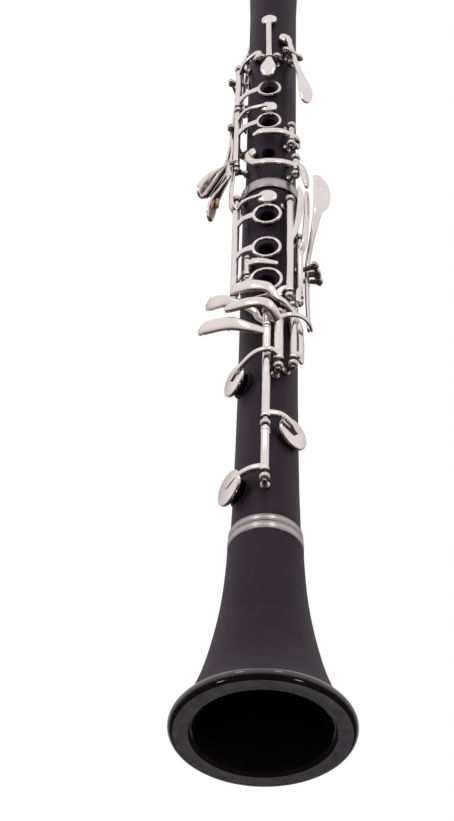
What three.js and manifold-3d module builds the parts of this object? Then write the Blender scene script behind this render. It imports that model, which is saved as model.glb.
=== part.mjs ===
// A B-flat clarinet with seventeen keys and six finger rings, in millimetres. It stands on its bell: +Z runs up the bore
// from the bell's rim to the mouthpiece's tip, and -Y is the front, where the finger holes are. Most places are
// given round the bore as (degrees from the front towards +X, radius, height).
import * as THREE from "three";
import { mergeVertices } from "three/addons/utils/BufferGeometryUtils.js";
import Module from "manifold-3d";

const wasm = await Module();
wasm.setup();
const clarinet = new THREE.Group();

// ---- driving dimensions ----
const BORE = 7.4;
const RIM = 40;
const BELL_TOP = 103.6;
const JOINT_TOP = 342;
const UPPER_TOP = 536;
const BARREL_TOP = 601;
const TIP = 673;
const GAP = 0.3; // between pieces that touch on the real instrument
const LOWER_WALL = 14.5; // outside radius of the lower joint's middle
const UPPER_WALL = 13.3;
const TUBE = 1.9; // hinge tube radius
const TUBE_BORE = 1.3;
const ROD = 0.95; // steel hinge rod radius
const SEAT = 0.35; // how far a tone hole's rim stands above the wall
const PAD_LIFT = 2.6; // how far a standing-open pad is from its hole

const SLOTS = {
  body: { color: 0x1d1c1f, roughness: 0.6, metalness: 0 },
  bell: { color: 0x1d1c1f, roughness: 0.55, metalness: 0 },
  gloss: { color: 0x0b0b0d, roughness: 0.18, metalness: 0 },
  nickel: { color: 0xd6d0cf, roughness: 0.22, metalness: 1 },
  steel: { color: 0x8d8a88, roughness: 0.35, metalness: 1 },
  cork: { color: 0xb98a63, roughness: 0.95, metalness: 0 },
  pad: { color: 0xe6dccb, roughness: 0.8, metalness: 0 },
  cane: { color: 0xd9bd7c, roughness: 0.7, metalness: 0 },
};

// ---- small tools ----
const rad = THREE.MathUtils.degToRad;
const at = (deg, r, z) => new THREE.Vector3(r * Math.sin(rad(deg)), -r * Math.cos(rad(deg)), z);

// A geometry as a manifold-3d solid, turned face out.
function solid(geometry) {
  const flat = geometry.index ? geometry.toNonIndexed() : geometry.clone();
  const bare = new THREE.BufferGeometry().setAttribute("position", flat.getAttribute("position"));
  const merged = mergeVertices(bare, 1e-3);
  const vertProperties = merged.attributes.position.array;
  const triVerts = new Uint32Array(merged.index.array);
  const made = new wasm.Manifold(new wasm.Mesh({ numProp: 3, vertProperties, triVerts }));
  if (made.volume() > 0) return made;
  for (let i = 0; i < triVerts.length; i += 3)
    [triVerts[i + 1], triVerts[i + 2]] = [triVerts[i + 2], triVerts[i + 1]];
  return new wasm.Manifold(new wasm.Mesh({ numProp: 3, vertProperties, triVerts }));
}

const union = (solids) => solids.reduce((sum, s) => sum.add(s));
const cut = (base, tools) => tools.reduce((left, s) => left.subtract(s), base);

// Hangs a finished solid in the scene as one named mesh.
function piece(name, slot, made) {
  const mesh = made.getMesh();
  const position = new Float32Array(mesh.numVert * 3);
  for (let i = 0; i < mesh.numVert; i++)
    position.set(mesh.vertProperties.subarray(i * mesh.numProp, i * mesh.numProp + 3), i * 3);
  const geometry = new THREE.BufferGeometry()
    .setAttribute("position", new THREE.BufferAttribute(position, 3))
    .setIndex(new THREE.BufferAttribute(mesh.triVerts, 1));
  geometry.computeVertexNormals();
  const shown = new THREE.Mesh(geometry, new THREE.MeshStandardMaterial(SLOTS[slot]));
  shown.name = name;
  clarinet.add(shown);
}

// A turned solid about the bore from (radius, height) pairs. A ring's profile closes on itself.
function turned(profile, sides = 20) {
  const points = profile.map(([r, z]) => new THREE.Vector2(r, z));
  return solid(new THREE.LatheGeometry(points, sides).rotateX(Math.PI / 2));
}

const ringOf = (inner, outer, low, high, sides = 20) =>
  turned([[inner, low], [outer, low], [outer, high], [inner, high], [inner, low]], sides);

// A turned solid whose axis runs out from the bore at a place on the wall. Its profile is (radius, height above r).
function raised(profile, deg, r, z, sides = 10) {
  const points = profile.map(([a, b]) => new THREE.Vector2(a, b));
  const geometry = new THREE.LatheGeometry(points, sides);
  const out = at(deg, 1, 0);
  const turn = new THREE.Quaternion().setFromUnitVectors(new THREE.Vector3(0, 1, 0), out);
  const place = at(deg, r, z);
  return solid(geometry.applyQuaternion(turn).translate(place.x, place.y, place.z));
}

function rod(from, to, radius, sides = 8) {
  const along = to.clone().sub(from);
  const geometry = new THREE.CylinderGeometry(radius, radius, along.length(), sides);
  const turn = new THREE.Quaternion().setFromUnitVectors(new THREE.Vector3(0, 1, 0), along.normalize());
  const middle = from.clone().add(to).multiplyScalar(0.5);
  return solid(geometry.applyQuaternion(turn).translate(middle.x, middle.y, middle.z));
}

// A bar swept along a smooth path round the bore. Each stop is [deg, r, z, width, thickness, roll]; the thickness
// points out from the bore, unless the bar is rolled about its own path, and all three run evenly between stops.
function bar(stops, steps = 1, sides = 6) {
  const path = new THREE.CatmullRomCurve3(stops.map(([deg, r, z]) => at(deg, r, z)), false, "centripetal");
  const count = (stops.length - 1) * steps;
  const rings = [];
  for (let i = 0; i <= count; i++) {
    const t = i / count;
    const share = t * (stops.length - 1);
    const k = Math.min(Math.floor(share), stops.length - 2);
    const between = (j) => THREE.MathUtils.lerp(stops[k][j] ?? 0, stops[k + 1][j] ?? 0, share - k);
    const [width, thick, roll] = [3, 4, 5].map(between);
    const centre = path.getPoint(t);
    const ahead = path.getTangent(t);
    const level = ahead.clone().cross(new THREE.Vector3(centre.x, centre.y, 0)).normalize();
    const side = level.applyAxisAngle(ahead, rad(roll));
    const up = side.clone().cross(ahead);
    rings.push(
      Array.from({ length: sides }, (_, j) => {
        const a = (j / sides) * 2 * Math.PI;
        const [c, s] = [Math.cos(a), Math.sin(a)];
        return centre
          .clone()
          .addScaledVector(side, (width / 2) * Math.sign(c) * Math.abs(c) ** 0.6)
          .addScaledVector(up, (thick / 2) * Math.sign(s) * Math.abs(s) ** 0.8);
      }),
    );
  }
  return solid(loft(rings));
}

// A closed skin over rings of points, with flat ends.
function loft(rings) {
  const sides = rings[0].length;
  const positions = rings.flat().flatMap((p) => p.toArray());
  const faces = [];
  for (let i = 0; i < rings.length - 1; i++)
    for (let j = 0; j < sides; j++) {
      const [a, b] = [i * sides + j, i * sides + ((j + 1) % sides)];
      faces.push(a, b, b + sides, a, b + sides, a + sides);
    }
  const last = (rings.length - 1) * sides;
  for (let j = 1; j < sides - 1; j++) faces.push(0, j + 1, j, last, last + j, last + j + 1);
  return new THREE.BufferGeometry()
    .setAttribute("position", new THREE.Float32BufferAttribute(positions, 3))
    .setIndex(faces);
}

// ---- parts that the keys are made of ----
// A pad cup with its pad, on a tone hole's rim. lift is how far it stands open.
function cup(deg, wall, z, radius, lift = 0) {
  const seat = wall + SEAT + GAP + lift;
  const profile = [[0, 0], [radius - 0.4, 0], [radius, 1.3], [radius - 0.2, 2.3], [0, 2.9]];
  return raised(profile, deg, seat, z, 12);
}

// A finger ring round a hole's chimney.
function fingerRing(deg, r, z, outer, inner) {
  const profile = [[inner, 0], [outer, 0], [outer, 1.3], [inner, 1.3], [inner, 0]];
  return raised(profile, deg, r, z, 16);
}

// A hinge line along the bore: { deg, r, low, high } holds its place and the span between its posts.
const hingeTube = (h, low, high, radius = TUBE) => rod(at(h.deg, h.r, low), at(h.deg, h.r, high), radius);
const hingeBore = (h, radius = TUBE_BORE) => rod(at(h.deg, h.r, h.low), at(h.deg, h.r, h.high), radius, 12);

// A ball-headed post on the wall, up to the hinge line at radius r.
function post(deg, z, r, ball = 2.6) {
  const wall = wallAt(z) + 0.1;
  const height = r - wall;
  const foot = [[0, GAP], [2.3, GAP], [2.3, 1], [1.3, 1.4]];
  const head = [[1.3, height - 0.8 * ball], [ball, height - 0.35 * ball], [ball, height + 0.35 * ball]];
  return raised([...foot, ...head, [0, height + 0.95 * ball]], deg, wall, z, 6);
}

// A steel rod through its posts.
function rodAndPosts(h, heights, radius = ROD, ball = 2.6) {
  const steel = rod(at(h.deg, h.r, heights[0]), at(h.deg, h.r, heights[heights.length - 1]), radius);
  return union([steel, ...heights.map((z) => post(h.deg, z, h.r, ball))]);
}

// The joints' outside radius at each height.
const WALLS = [
  [108.2, 16.1], [114, 15.8], [135, 15.2], [165, 14.8], [200, LOWER_WALL], [326, LOWER_WALL], [331, 14.9],
  [JOINT_TOP, 15.9], [JOINT_TOP + GAP, 14.2], [346, 14], [352, UPPER_WALL], [505, UPPER_WALL], [UPPER_TOP, 14.2],
];
function wallAt(z) {
  const k = WALLS.findIndex(([high]) => high >= z);
  const [[low, a], [high, b]] = [WALLS[k - 1], WALLS[k]];
  return THREE.MathUtils.mapLinear(z, low, high, a, b);
}

const hole = (deg, z, radius) => rod(at(deg, BORE - 2, z), at(deg, 24, z), radius);
const rim = (deg, wall, z, radius, height) =>
  rod(at(deg, wall - 2, z), at(deg, wall + height, z), radius, 12);

// ---- tone holes: [deg, z, hole radius, rim radius, rim height] ----
const LOWER_HOLES = [
  [0, 310.5, 4.1, 5.2, 2.0],
  [0, 285, 4.2, 5.3, 2.0],
  [0, 261, 4.8, 6.0, 2.0],
  [0, 323.5, 3.2, 4.6, SEAT],
  [-88, 274, 2.6, 3.6, SEAT],
  [63, 236.6, 3.6, 4.6, SEAT],
  [-52, 196.7, 5.6, 6.9, SEAT],
  [51, 161.4, 5.8, 7.2, SEAT],
  [-52, 127.9, 6.0, 7.4, SEAT],
];
const UPPER_HOLES = [
  [0, 417, 3.2, 4.0, 2.0],
  [0, 388.5, 3.7, 4.7, 2.0],
  [0, 365, 3.7, 4.4, 0.25],
  [180, 430, 3.6, 4.6, 2.0],
  [0, 400.2, 2.4, 3.7, SEAT],
  [-29, 449.5, 2.0, 3.3, SEAT],
  [-42, 366.4, 2.4, 3.5, SEAT],
  [66, 381, 2.1, 3.2, SEAT],
  [-3, 482, 2.0, 3.3, SEAT],
  [34, 466, 2.0, 3.1, SEAT],
  [180, 519, 1.5, 3.1, SEAT],
  [-84, 416, 1.9, 2.9, SEAT],
  [-101, 423, 1.9, 2.9, SEAT],
  [-104, 470, 1.9, 2.9, SEAT],
  [-122, 484, 1.9, 2.9, SEAT],
  [-158, 417, 1.7, 2.6, SEAT],
];

function drilled(blank, holes, wall) {
  const rims = holes.map(([deg, z, , r, height]) => rim(deg, wall, z, r, height));
  return cut(union([blank, ...rims]), holes.map(([deg, z, r]) => hole(deg, z, r)));
}

// ---- bell ----
piece(
  "bell",
  "bell",
  turned(
    [
      [31, 0], [38.6, 0], [RIM, 1.2], [RIM, 2.8], [37, 6], [34, 10.6], [31, 16.6], [28, 25], [25.3, 35],
      [22.5, 48.5], [20.2, 62], [18.6, 76], [17.6, 91], [17.2, 98.8], [15.4, 98.8], [15.4, BELL_TOP],
      [14.2, BELL_TOP], [14.2, 80], [10.4, 80], [11.2, 62], [13.6, 43], [17.6, 26], [22.8, 13], [27, 5], [31, 0],
    ],
    24,
  ),
);
piece("bell_ring", "nickel", ringOf(15.4 + GAP, 17.3, 99.1, BELL_TOP));

// ---- lower joint ----
const lowerBlank = turned([
  [BORE + 2.2, 82], [12.4, 82], [12.4, 84.5], [12.9, 84.5], [12.9, 86], [12.4, 86], [12.4, 100], [13.2, 100],
  [13.2, BELL_TOP + GAP], [15.2, BELL_TOP + GAP], [15.2, 108.2], [16.1, 108.2], [15.8, 114], [15.2, 135],
  [14.8, 165], [LOWER_WALL, 200], [LOWER_WALL, 326], [14.9, 331], [14.9, 334.6], [14.0, 334.6],
  [14.0, JOINT_TOP], [11.4, JOINT_TOP], [11.4, 328], [BORE, 328], [BORE, 200], [BORE + 2.2, 82],
]);
piece("lower_joint", "body", drilled(lowerBlank, LOWER_HOLES, LOWER_WALL));
piece("lower_joint_bottom_ring", "nickel", ringOf(15.2 + GAP, 17.0, BELL_TOP + GAP, 107.9));
piece("lower_joint_top_ring", "nickel", ringOf(14.0 + GAP, 15.9, 334.9, JOINT_TOP));
piece("bell_tenon_cork", "cork", ringOf(12.4 + GAP, 13.9, 86.4, 99.7));

// ---- upper joint ----
const upperBlank = turned([
  [BORE, 329.5], [10.0, 329.5], [10.0, 331.4], [9.6, 331.4], [9.6, 340], [10.8, 340], [10.8, JOINT_TOP + GAP],
  [14.2, JOINT_TOP + GAP], [14.0, 346], [UPPER_WALL, 352], [UPPER_WALL, 505], [14.2, UPPER_TOP],
  [10.8, UPPER_TOP], [10.8, 538], [9.6, 538], [9.6, 549.4], [10.0, 549.4], [10.0, 551], [BORE, 551], [BORE, 329.5],
]);
piece("upper_joint", "body", drilled(upperBlank, UPPER_HOLES, UPPER_WALL));
piece("middle_tenon_cork", "cork", ringOf(9.6 + GAP, 11.05, 331.8, 339.6));
piece("barrel_tenon_cork", "cork", ringOf(9.6 + GAP, 11.05, 538.4, 549));

// ---- barrel ----
const BARREL_LOW = UPPER_TOP + GAP;
piece(
  "barrel",
  "body",
  turned([
    [11.4, BARREL_LOW], [14.6, BARREL_LOW], [14.6, 541.3], [15.9, 541.3], [16.6, 556], [16.6, 580], [15.7, 595.6],
    [14.4, 595.6], [14.4, BARREL_TOP], [11.4, BARREL_TOP], [11.4, 585], [BORE, 585], [BORE, 552], [11.4, 552],
    [11.4, BARREL_LOW],
  ]),
);
piece("barrel_bottom_ring", "nickel", ringOf(14.6 + GAP, 16.3, BARREL_LOW, 541));
piece("barrel_top_ring", "nickel", ringOf(14.4 + GAP, 16.1, 595.9, BARREL_TOP));

// ---- mouthpiece, reed and ligature ----
const MOUTH_LOW = BARREL_TOP + GAP;
const TABLE = 9.6; // the reed lies on the mouthpiece's flat table, this far behind the bore's axis
const blankProfile = [
  [0, 586], [10.0, 586], [10.0, 587.8], [9.6, 587.8], [9.6, 599], [11.0, 599], [11.0, MOUTH_LOW], [14.4, MOUTH_LOW],
  [14.6, 603.5], [13.9, 605.5], [13.9, 634], [12.6, 650], [11.0, TIP], [0, TIP],
];
function slab(width, depth, height, x, y, z, tilt = 0) {
  const box = new THREE.BoxGeometry(width, depth, height).rotateX(tilt).translate(x, y, z);
  return solid(box);
}
const BEAK_TILT = rad(-23);
const mouthpiece = cut(turned(blankProfile), [
  slab(40, 20, 70, 0, TABLE + 10, 644),
  slab(40, 20, 60, 0, -12.6, 664.5, BEAK_TILT),
  rod(at(0, 0, 580), at(0, 0, 640), BORE, 16),
  slab(11, 12, 30, 0, TABLE - 4.6, 651.5),
]);
piece("mouthpiece", "gloss", mouthpiece);
piece("mouthpiece_tenon_cork", "cork", ringOf(9.6 + GAP, 11.05, 588.2, 598.6));

const reedSide = new THREE.Shape([
  [0, 609.6], [2.6, 609.6], [2.7, 636], [1.5, 652], [0.35, TIP - 0.4], [0, TIP - 0.4],
].map(([y, z]) => new THREE.Vector2(y, z)));
const REED_WIDTH = 12;
const reed = solid(
  new THREE.ExtrudeGeometry(reedSide, { depth: REED_WIDTH, bevelEnabled: false, steps: 1 })
    .applyMatrix4(new THREE.Matrix4().set(0, 0, 1, -REED_WIDTH / 2, 1, 0, 0, TABLE + GAP, 0, 1, 0, 0, 0, 0, 0, 1)),
);
piece("reed", "cane", reed);

const LIG_LOW = 611;
const LIG_HIGH = 632;
const ligBand = cut(ringOf(14.2, 15.1, LIG_LOW, LIG_HIGH), [slab(2.4, 12, 40, 0, 16, 621)]);
const lug = (x) => slab(2.2, 6.4, 17, x, 17.3, 621.5);
const SCREWS = [616.2, 626.8];
const SCREW_Y = 18.4;
const ligature = cut(
  union([ligBand, lug(-3), lug(3)]),
  SCREWS.map((z) => rod(new THREE.Vector3(-8, SCREW_Y, z), new THREE.Vector3(8, SCREW_Y, z), 1.5, 10)),
);
piece("ligature", "nickel", ligature);
SCREWS.forEach((z, i) => {
  const shank = rod(new THREE.Vector3(-6, SCREW_Y, z), new THREE.Vector3(10, SCREW_Y, z), 1.1, 10);
  const head = rod(new THREE.Vector3(5, SCREW_Y, z), new THREE.Vector3(12.5, SCREW_Y, z), 2.9, 12);
  piece(`ligature_screw_${i + 1}`, "nickel", union([shank, head]));
});

// ---- thumb rest, on the back ----
const REST_Z = 292;
piece(
  "thumb_rest",
  "nickel",
  cut(
    union([
      bar([[180, 15.6, REST_Z - 12, 9, 1.6], [180, 15.6, REST_Z, 10, 1.6], [180, 15.6, REST_Z + 12, 9, 1.6]]),
      bar([[180, 15.6, REST_Z - 3, 11, 3.2], [180, 23, REST_Z - 3.4, 12, 2.8], [178, 30, REST_Z - 6, 12, 2.4]]),
      raised([[0, 0], [1.9, 0], [1.9, 0.9], [0, 1.2]], 180, 16.3, REST_Z + 8, 10),
      raised([[0, 0], [1.9, 0], [1.9, 0.9], [0, 1.2]], 180, 16.3, REST_Z - 9.4, 10),
    ]),
    [ringOf(5, LOWER_WALL + GAP, REST_Z - 20, REST_Z + 20)],
  ),
);

// ---- hinge lines of the lower joint ----
const RIGHT_RINGS = { deg: -57, r: 19.8, low: 254, high: 331 };
const B_SLIVER = { deg: -33, r: 17.8, low: 265.6, high: 280.4 };
const LOW_A = { deg: 3.2, r: 21.5, low: 125, high: 234 };
const LOW_B = { deg: 18.5, r: 21.5, low: 197, high: 234 };
const LOW_C = { deg: 40, r: 21, low: 202, high: 242.5 };
const LEFT_E = { deg: 34, r: 21.2, low: 247.8, high: 321 };
const LEFT_F_SHARP = { deg: 52, r: 20.8, low: 248, high: 296 };

// Finger rings of the right hand, with the pad above them and the bridge to the upper joint.
piece(
  "right_ring_key",
  "nickel",
  union([
    cut(
      union([
        hingeTube(RIGHT_RINGS, 257.4, 327.6),
        bar([[-57, 19.8, 310, 6, 2], [-38, 19.5, 310.5, 4, 1.4], [-21, 18.9, 310.5, 5, 1.3]]),
        bar([[-57, 19.8, 285.5, 6, 2], [-38, 19.5, 285.6, 4, 1.4], [-21, 18.9, 285.4, 5, 1.3]]),
        bar([[-57, 19.8, 260.5, 6, 2], [-40, 19.5, 260.6, 4, 1.4], [-23, 19.1, 260.8, 5, 1.3]]),
        bar([[-57, 19.8, 322.5, 5, 2], [-36, 20.3, 323, 2.6, 1.6], [-8, 19.7, 323.5, 2.6, 1.8]]),
        bar([
          [-57, 20.4, 321.5, 4, 2.2], [-57, 23, 326, 4, 1.6], [-57, 23.2, 334, 4, 1.4], [-57, 22.6, 345, 4.4, 1.3],
          [-57, 22.4, 351, 4.4, 1.2],
        ]),
      ]),
      [hingeBore(RIGHT_RINGS)],
    ),
    fingerRing(0, 17.0, 310.5, 7.8, 6.0),
    fingerRing(0, 17.0, 285, 7.8, 6.0),
    fingerRing(0, 17.0, 261, 8.6, 6.8),
    cup(0, LOWER_WALL, 323.5, 5.2, 1.6),
  ]),
);
piece("right_ring_rod", "steel", rodAndPosts(RIGHT_RINGS, [254, 331]));

// The sliver key between the second and third rings.
piece(
  "b_sliver_key",
  "nickel",
  union([
    cut(
      union([
        hingeTube(B_SLIVER, 267.8, 278.2, 1.6),
        bar([[-33, 17.6, 272, 3, 2], [-28, 18.5, 274.8, 4, 1.6], [-12, 18.4, 274.4, 4.6, 1.7], [16, 17.8, 272.8, 3.2, 1.4]]),
        bar([[-33, 17.4, 274, 3, 1.8], [-57, 16.4, 274, 2.6, 1.2], [-80, 16.9, 274, 2.6, 1.6]]),
      ]),
      [hingeBore(B_SLIVER, 1.1)],
    ),
    cup(-88, LOWER_WALL, 274, 4.3),
  ]),
);
piece("b_sliver_rod", "steel", rodAndPosts(B_SLIVER, [265.6, 280.4], 0.75, 1.8));

// Right little-finger keys. A touch is a broad curved blade on the left; its arm runs to the hinge.
const BLADE = 2.6;
piece(
  "low_g_sharp_key",
  "nickel",
  union([
    cut(
      union([
        hingeTube(LOW_C, 205.6, 239.4),
        bar([
          [-45, 24.4, 253.2, 3.2, 1.8], [-38, 24.9, 252.4, 6.8, BLADE], [-16, 25.4, 249.6, 7.2, BLADE],
          [1, 25.4, 247.2, 6.6, BLADE], [9, 25, 243.8, 5, BLADE], [14, 24.7, 240.6, 4, 2.2],
          [24, 24, 238.8, 3.6, 2], [40, 21.4, 237, 4, 2],
        ]),
        bar([[40, 21, 233.6, 4, 2.2], [50, 19.8, 235, 3.2, 1.6], [62, 18.3, 236.6, 3, 1.6]]),
        bar([[56, 19.4, 234.4, 4, 1.6], [57.5, 20, 222, 4.4, 1.6], [57, 20, 209, 4.2, 1.6]]),
        bar([[40, 21, 210.6, 4, 2], [49, 20.7, 210.4, 3.6, 1.6], [57, 20, 210.4, 3.4, 1.5]]),
      ]),
      [hingeBore(LOW_C)],
    ),
    cup(63, LOWER_WALL, 236.6, 5.5),
  ]),
);
piece(
  "low_f_key",
  "nickel",
  union([
    cut(
      union([
        hingeTube(LOW_B, 200.6, 230.2, 2.5),
        bar([
          [-42, 28.4, 236.8, 3, 1.8], [-37, 27.9, 236.6, 6, BLADE], [-16, 26.6, 236.2, 6.6, BLADE],
          [0, 26.4, 234.8, 6.2, BLADE], [8, 25.9, 231.6, 5.4, BLADE], [14, 24, 228, 4.8, BLADE],
          [18.5, 21.8, 224.6, 4.4, 2.2],
        ]),
        bar([[18.5, 22.4, 228.6, 4, 2], [30, 24.6, 230.6, 3, 1.5], [44, 25.2, 232.4, 3, 1.4], [58, 24.5, 233, 3, 1.4], [70, 23.3, 233.2, 3, 1.4]]),
        bar([[18.5, 22, 203.5, 5, 2.6], [10, 25, 203.6, 3.4, 2], [2, 25.6, 203.4, 3.4, 2], [-12, 24, 202.6, 3.4, 2], [-34, 21.6, 199.4, 3.2, 2], [-50, 20.6, 197, 3, 2]]),
      ]),
      [hingeBore(LOW_B)],
    ),
    cup(-52, LOWER_WALL, 196.7, 8.3, PAD_LIFT),
  ]),
);
piece(
  "low_f_sharp_key",
  "nickel",
  union([
    cut(
      union([
        hingeTube(LOW_A, 162.4, 222.6, 2.1),
        bar([
          [-76, 34.2, 234.8, 3, 1.8], [-70, 32.9, 234.2, 7, BLADE], [-41, 26.7, 228, 7.2, BLADE],
          [-18, 23.8, 222, 5.6, 2.4], [3.2, 22.2, 218.4, 4.4, 2],
        ]),
        bar([[3.2, 21.6, 165.4, 4.6, 2.2], [22, 21.2, 165.6, 3.6, 1.9], [38, 20, 164, 3.6, 1.9], [50, 18.9, 161.6, 3.6, 1.9]]),
      ]),
      [hingeBore(LOW_A, 1.7)],
    ),
    cup(51, 14.8, 161.4, 8.8),
  ]),
);
piece(
  "low_e_key",
  "nickel",
  union([
    cut(
      union([
        hingeTube(LOW_A, 129, 155.4, 2.1),
        hingeTube(LOW_A, 150, 228, 1.38),
        hingeTube(LOW_A, 223.2, 230.4, 2.1),
        bar([
          [-81, 30.6, 256.6, 3, 1.8], [-75, 29.8, 255.2, 7, BLADE], [-54, 26.2, 249.2, 6.6, BLADE],
          [-42, 23.8, 245.2, 5.4, 2.4], [-28, 21.6, 242.2, 5, 2], [-14, 20, 236, 3.6, 1.7], [-9, 19.8, 231.6, 3.4, 1.6],
          [2, 20.8, 227, 3.6, 1.8],
        ]),
        bar([[-30, 21.8, 242.6, 5, 1.8], [-12, 20.9, 243.6, 4.6, 1.7], [6, 21, 245.4, 3.8, 1.5], [20, 21.3, 246.8, 3, 1.2]]),
        bar([[3.2, 21.8, 131.4, 4.6, 2.4], [-14, 21.8, 131.2, 3.6, 2], [-34, 21.4, 129.8, 3.4, 2], [-50, 21, 128, 3.2, 2]]),
      ]),
      [hingeBore(LOW_A, 0.98)],
    ),
    cup(-52, 15.4, 127.9, 9.1, PAD_LIFT),
  ]),
);
piece("low_keys_rod", "steel", rodAndPosts(LOW_A, [125.4, 234], 0.65));
piece(
  "low_keys_middle_post",
  "steel",
  cut(post(LOW_A.deg, 158.8, LOW_A.r, 2.9), [hingeTube(LOW_A, 150, 170, 1.7)]),
);
piece("low_f_rod", "steel", rodAndPosts(LOW_B, [197, 233.8]));
piece("low_g_sharp_rod", "steel", rodAndPosts(LOW_C, [202, 242.5]));

// Left little-finger levers, down the right side.
piece(
  "left_e_lever",
  "nickel",
  cut(
    union([
      hingeTube(LEFT_E, 251, 317.8),
      bar([[34, 21.2, 254, 4, 2], [26, 20.2, 253, 3, 1.5], [20, 19.6, 250.6, 3, 1.4], [18, 19.3, 247, 3, 1.3]]),
      bar([
        [35, 21.4, 290, 3, 2], [40, 22.6, 297, 3, 2], [43, 24, 308, 3.4, 1.9], [44.2, 24.8, 318, 4, 1.8],
        [43.6, 24.8, 325, 3.2, 1.6], [41.5, 24.4, 330, 1.4, 1.3],
      ]),
    ]),
    [hingeBore(LEFT_E)],
  ),
);
piece("left_e_rod", "steel", rodAndPosts(LEFT_E, [247.8, 321]));

piece(
  "left_f_sharp_lever",
  "nickel",
  cut(
    union([
      hingeTube(LEFT_F_SHARP, 251, 292.6),
      bar([[52, 21.4, 255, 4, 2], [46, 24, 253.6, 3, 1.6], [41, 25, 249, 3, 1.4], [40.5, 25, 241.6, 3, 1.4]]),
      bar([
        [52, 21, 284, 4, 2.2], [52.4, 23.6, 290, 3.8, 2], [53, 24.2, 298, 4, 1.8], [54.2, 24.4, 309, 4.2, 1.8],
        [55.2, 24.5, 319, 4.2, 1.7], [56, 24.4, 327, 3.4, 1.5], [56.6, 24.2, 331, 1.4, 1.2],
      ]),
    ]),
    [hingeBore(LEFT_F_SHARP)],
  ),
);
piece("left_f_sharp_rod", "steel", rodAndPosts(LEFT_F_SHARP, [248, 295.8], ROD, 2.2));

// ---- see-saw levers, each on a pin that crosses the bore's direction ----
// The pin's middle is at (deg, r, z) and it reaches half each side.
function pinEnds({ deg, r, z }, half) {
  const along = at(deg + 90, 1, 0);
  const middle = at(deg, r, z);
  return [-half, half].map((far) => middle.clone().addScaledVector(along, far));
}
const placeOf = (point) => [
  THREE.MathUtils.radToDeg(Math.atan2(point.x, -point.y)), Math.hypot(point.x, point.y), point.z,
];
const pinHub = (pin, half, radius = 2) => rod(...pinEnds(pin, half), radius);
const pinBore = (pin) => rod(...pinEnds(pin, 12), 1.1);

function pinAndPosts(pin, half) {
  const ends = pinEnds(pin, half);
  const posts = ends.map((end) => {
    const [deg, r, z] = placeOf(end);
    return post(deg, z, r, 2.2);
  });
  return union([rod(...ends, 0.75), ...posts]);
}

// A see-saw lever: its bar runs along the bore from the touch to the pad, with the hub about halfway.
const seeSaw = (pin, half, stops) => cut(union([bar(stops), pinHub(pin, half)]), [pinBore(pin)]);

const F_PIN = { deg: 83, r: 24.6, z: 279 };
piece(
  "left_f_lever",
  "nickel",
  cut(
    union([
      bar([
        [60, 28.4, 343, 3, 1.3, 32], [64.4, 29.4, 340, 7.4, 1.7, 32], [67, 30.1, 332.6, 10.2, 1.9, 32],
        [66.6, 29.9, 324.6, 9.6, 1.9, 32], [64, 28.6, 316.6, 5.6, 1.9, 28], [66, 26.4, 308, 4.2, 2, 16],
        [70, 23.6, 299, 3.8, 2], [78, 20.6, 289, 3.6, 2.2], [81, 19.6, 279, 3.6, 2.4], [76, 20.2, 258, 3.8, 2],
        [71, 21.4, 240, 3.2, 1.5], [70, 21.6, 232.4, 3.2, 1.1],
      ]),
      rod(at(81, 19.6, 279), at(83, 24.6, 279), 1.8),
      pinHub(F_PIN, 2.4),
    ]),
    [pinBore(F_PIN)],
  ),
);
piece("left_f_pin", "steel", pinAndPosts(F_PIN, 5.4));

// ---- upper joint ----
const FIRST = { deg: -66, r: 19.5, low: 409.5, high: 447 };
const THUMB = { deg: -140, r: 17.4, low: 421.4, high: 433.6 };
const SECOND = { deg: -66, r: 19.5, low: 358, high: 409.5 };
const C_SHARP = { deg: 48, r: 19.2, low: 346.4, high: 360 };
const E_FLAT = { deg: 42, r: 17.8, low: 371.6, high: 386.8 };

piece(
  "first_ring_key",
  "nickel",
  union([
    cut(
      union([
        hingeTube(FIRST, 412.8, 443.6),
        bar([[-66, 19.5, 417, 6, 2], [-44, 18.4, 417, 4, 1.4], [-19, 17.4, 417, 4.4, 1.2]]),
        bar([[-66, 19.6, 440.6, 4, 2], [-50, 19.6, 445, 3, 1.6], [-36, 18.4, 448.4, 3, 1.6], [-30, 18, 449.4, 3, 1.4]]),
      ]),
      [hingeBore(FIRST)],
    ),
    fingerRing(0, 15.7, 417, 6.6, 5.0),
    cup(-29, UPPER_WALL, 449.5, 4.1, 1.3),
  ]),
);
piece(
  "thumb_ring_key",
  "nickel",
  union([
    cut(
      union([
        hingeTube(THUMB, 423.6, 431.4, 1.6),
        bar([[-140, 17.7, 428.6, 4, 1.8], [-150, 17.8, 429.4, 4, 1.4], [-158.5, 17.6, 430, 4.4, 1.2]]),
        bar([[-140, 17.7, 427, 3, 1.8], [-151, 18.5, 424, 2.8, 1.4], [-157, 17.9, 417.4, 2.8, 1.4]]),
      ]),
      [hingeBore(THUMB, 1.1)],
    ),
    fingerRing(180, 15.7, 430, 6.8, 5.6),
    cup(-158, UPPER_WALL, 417, 3.3, 0.9),
  ]),
);
piece("thumb_ring_rod", "steel", rodAndPosts(THUMB, [421.4, 433.6], 0.75, 1.8));
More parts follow.
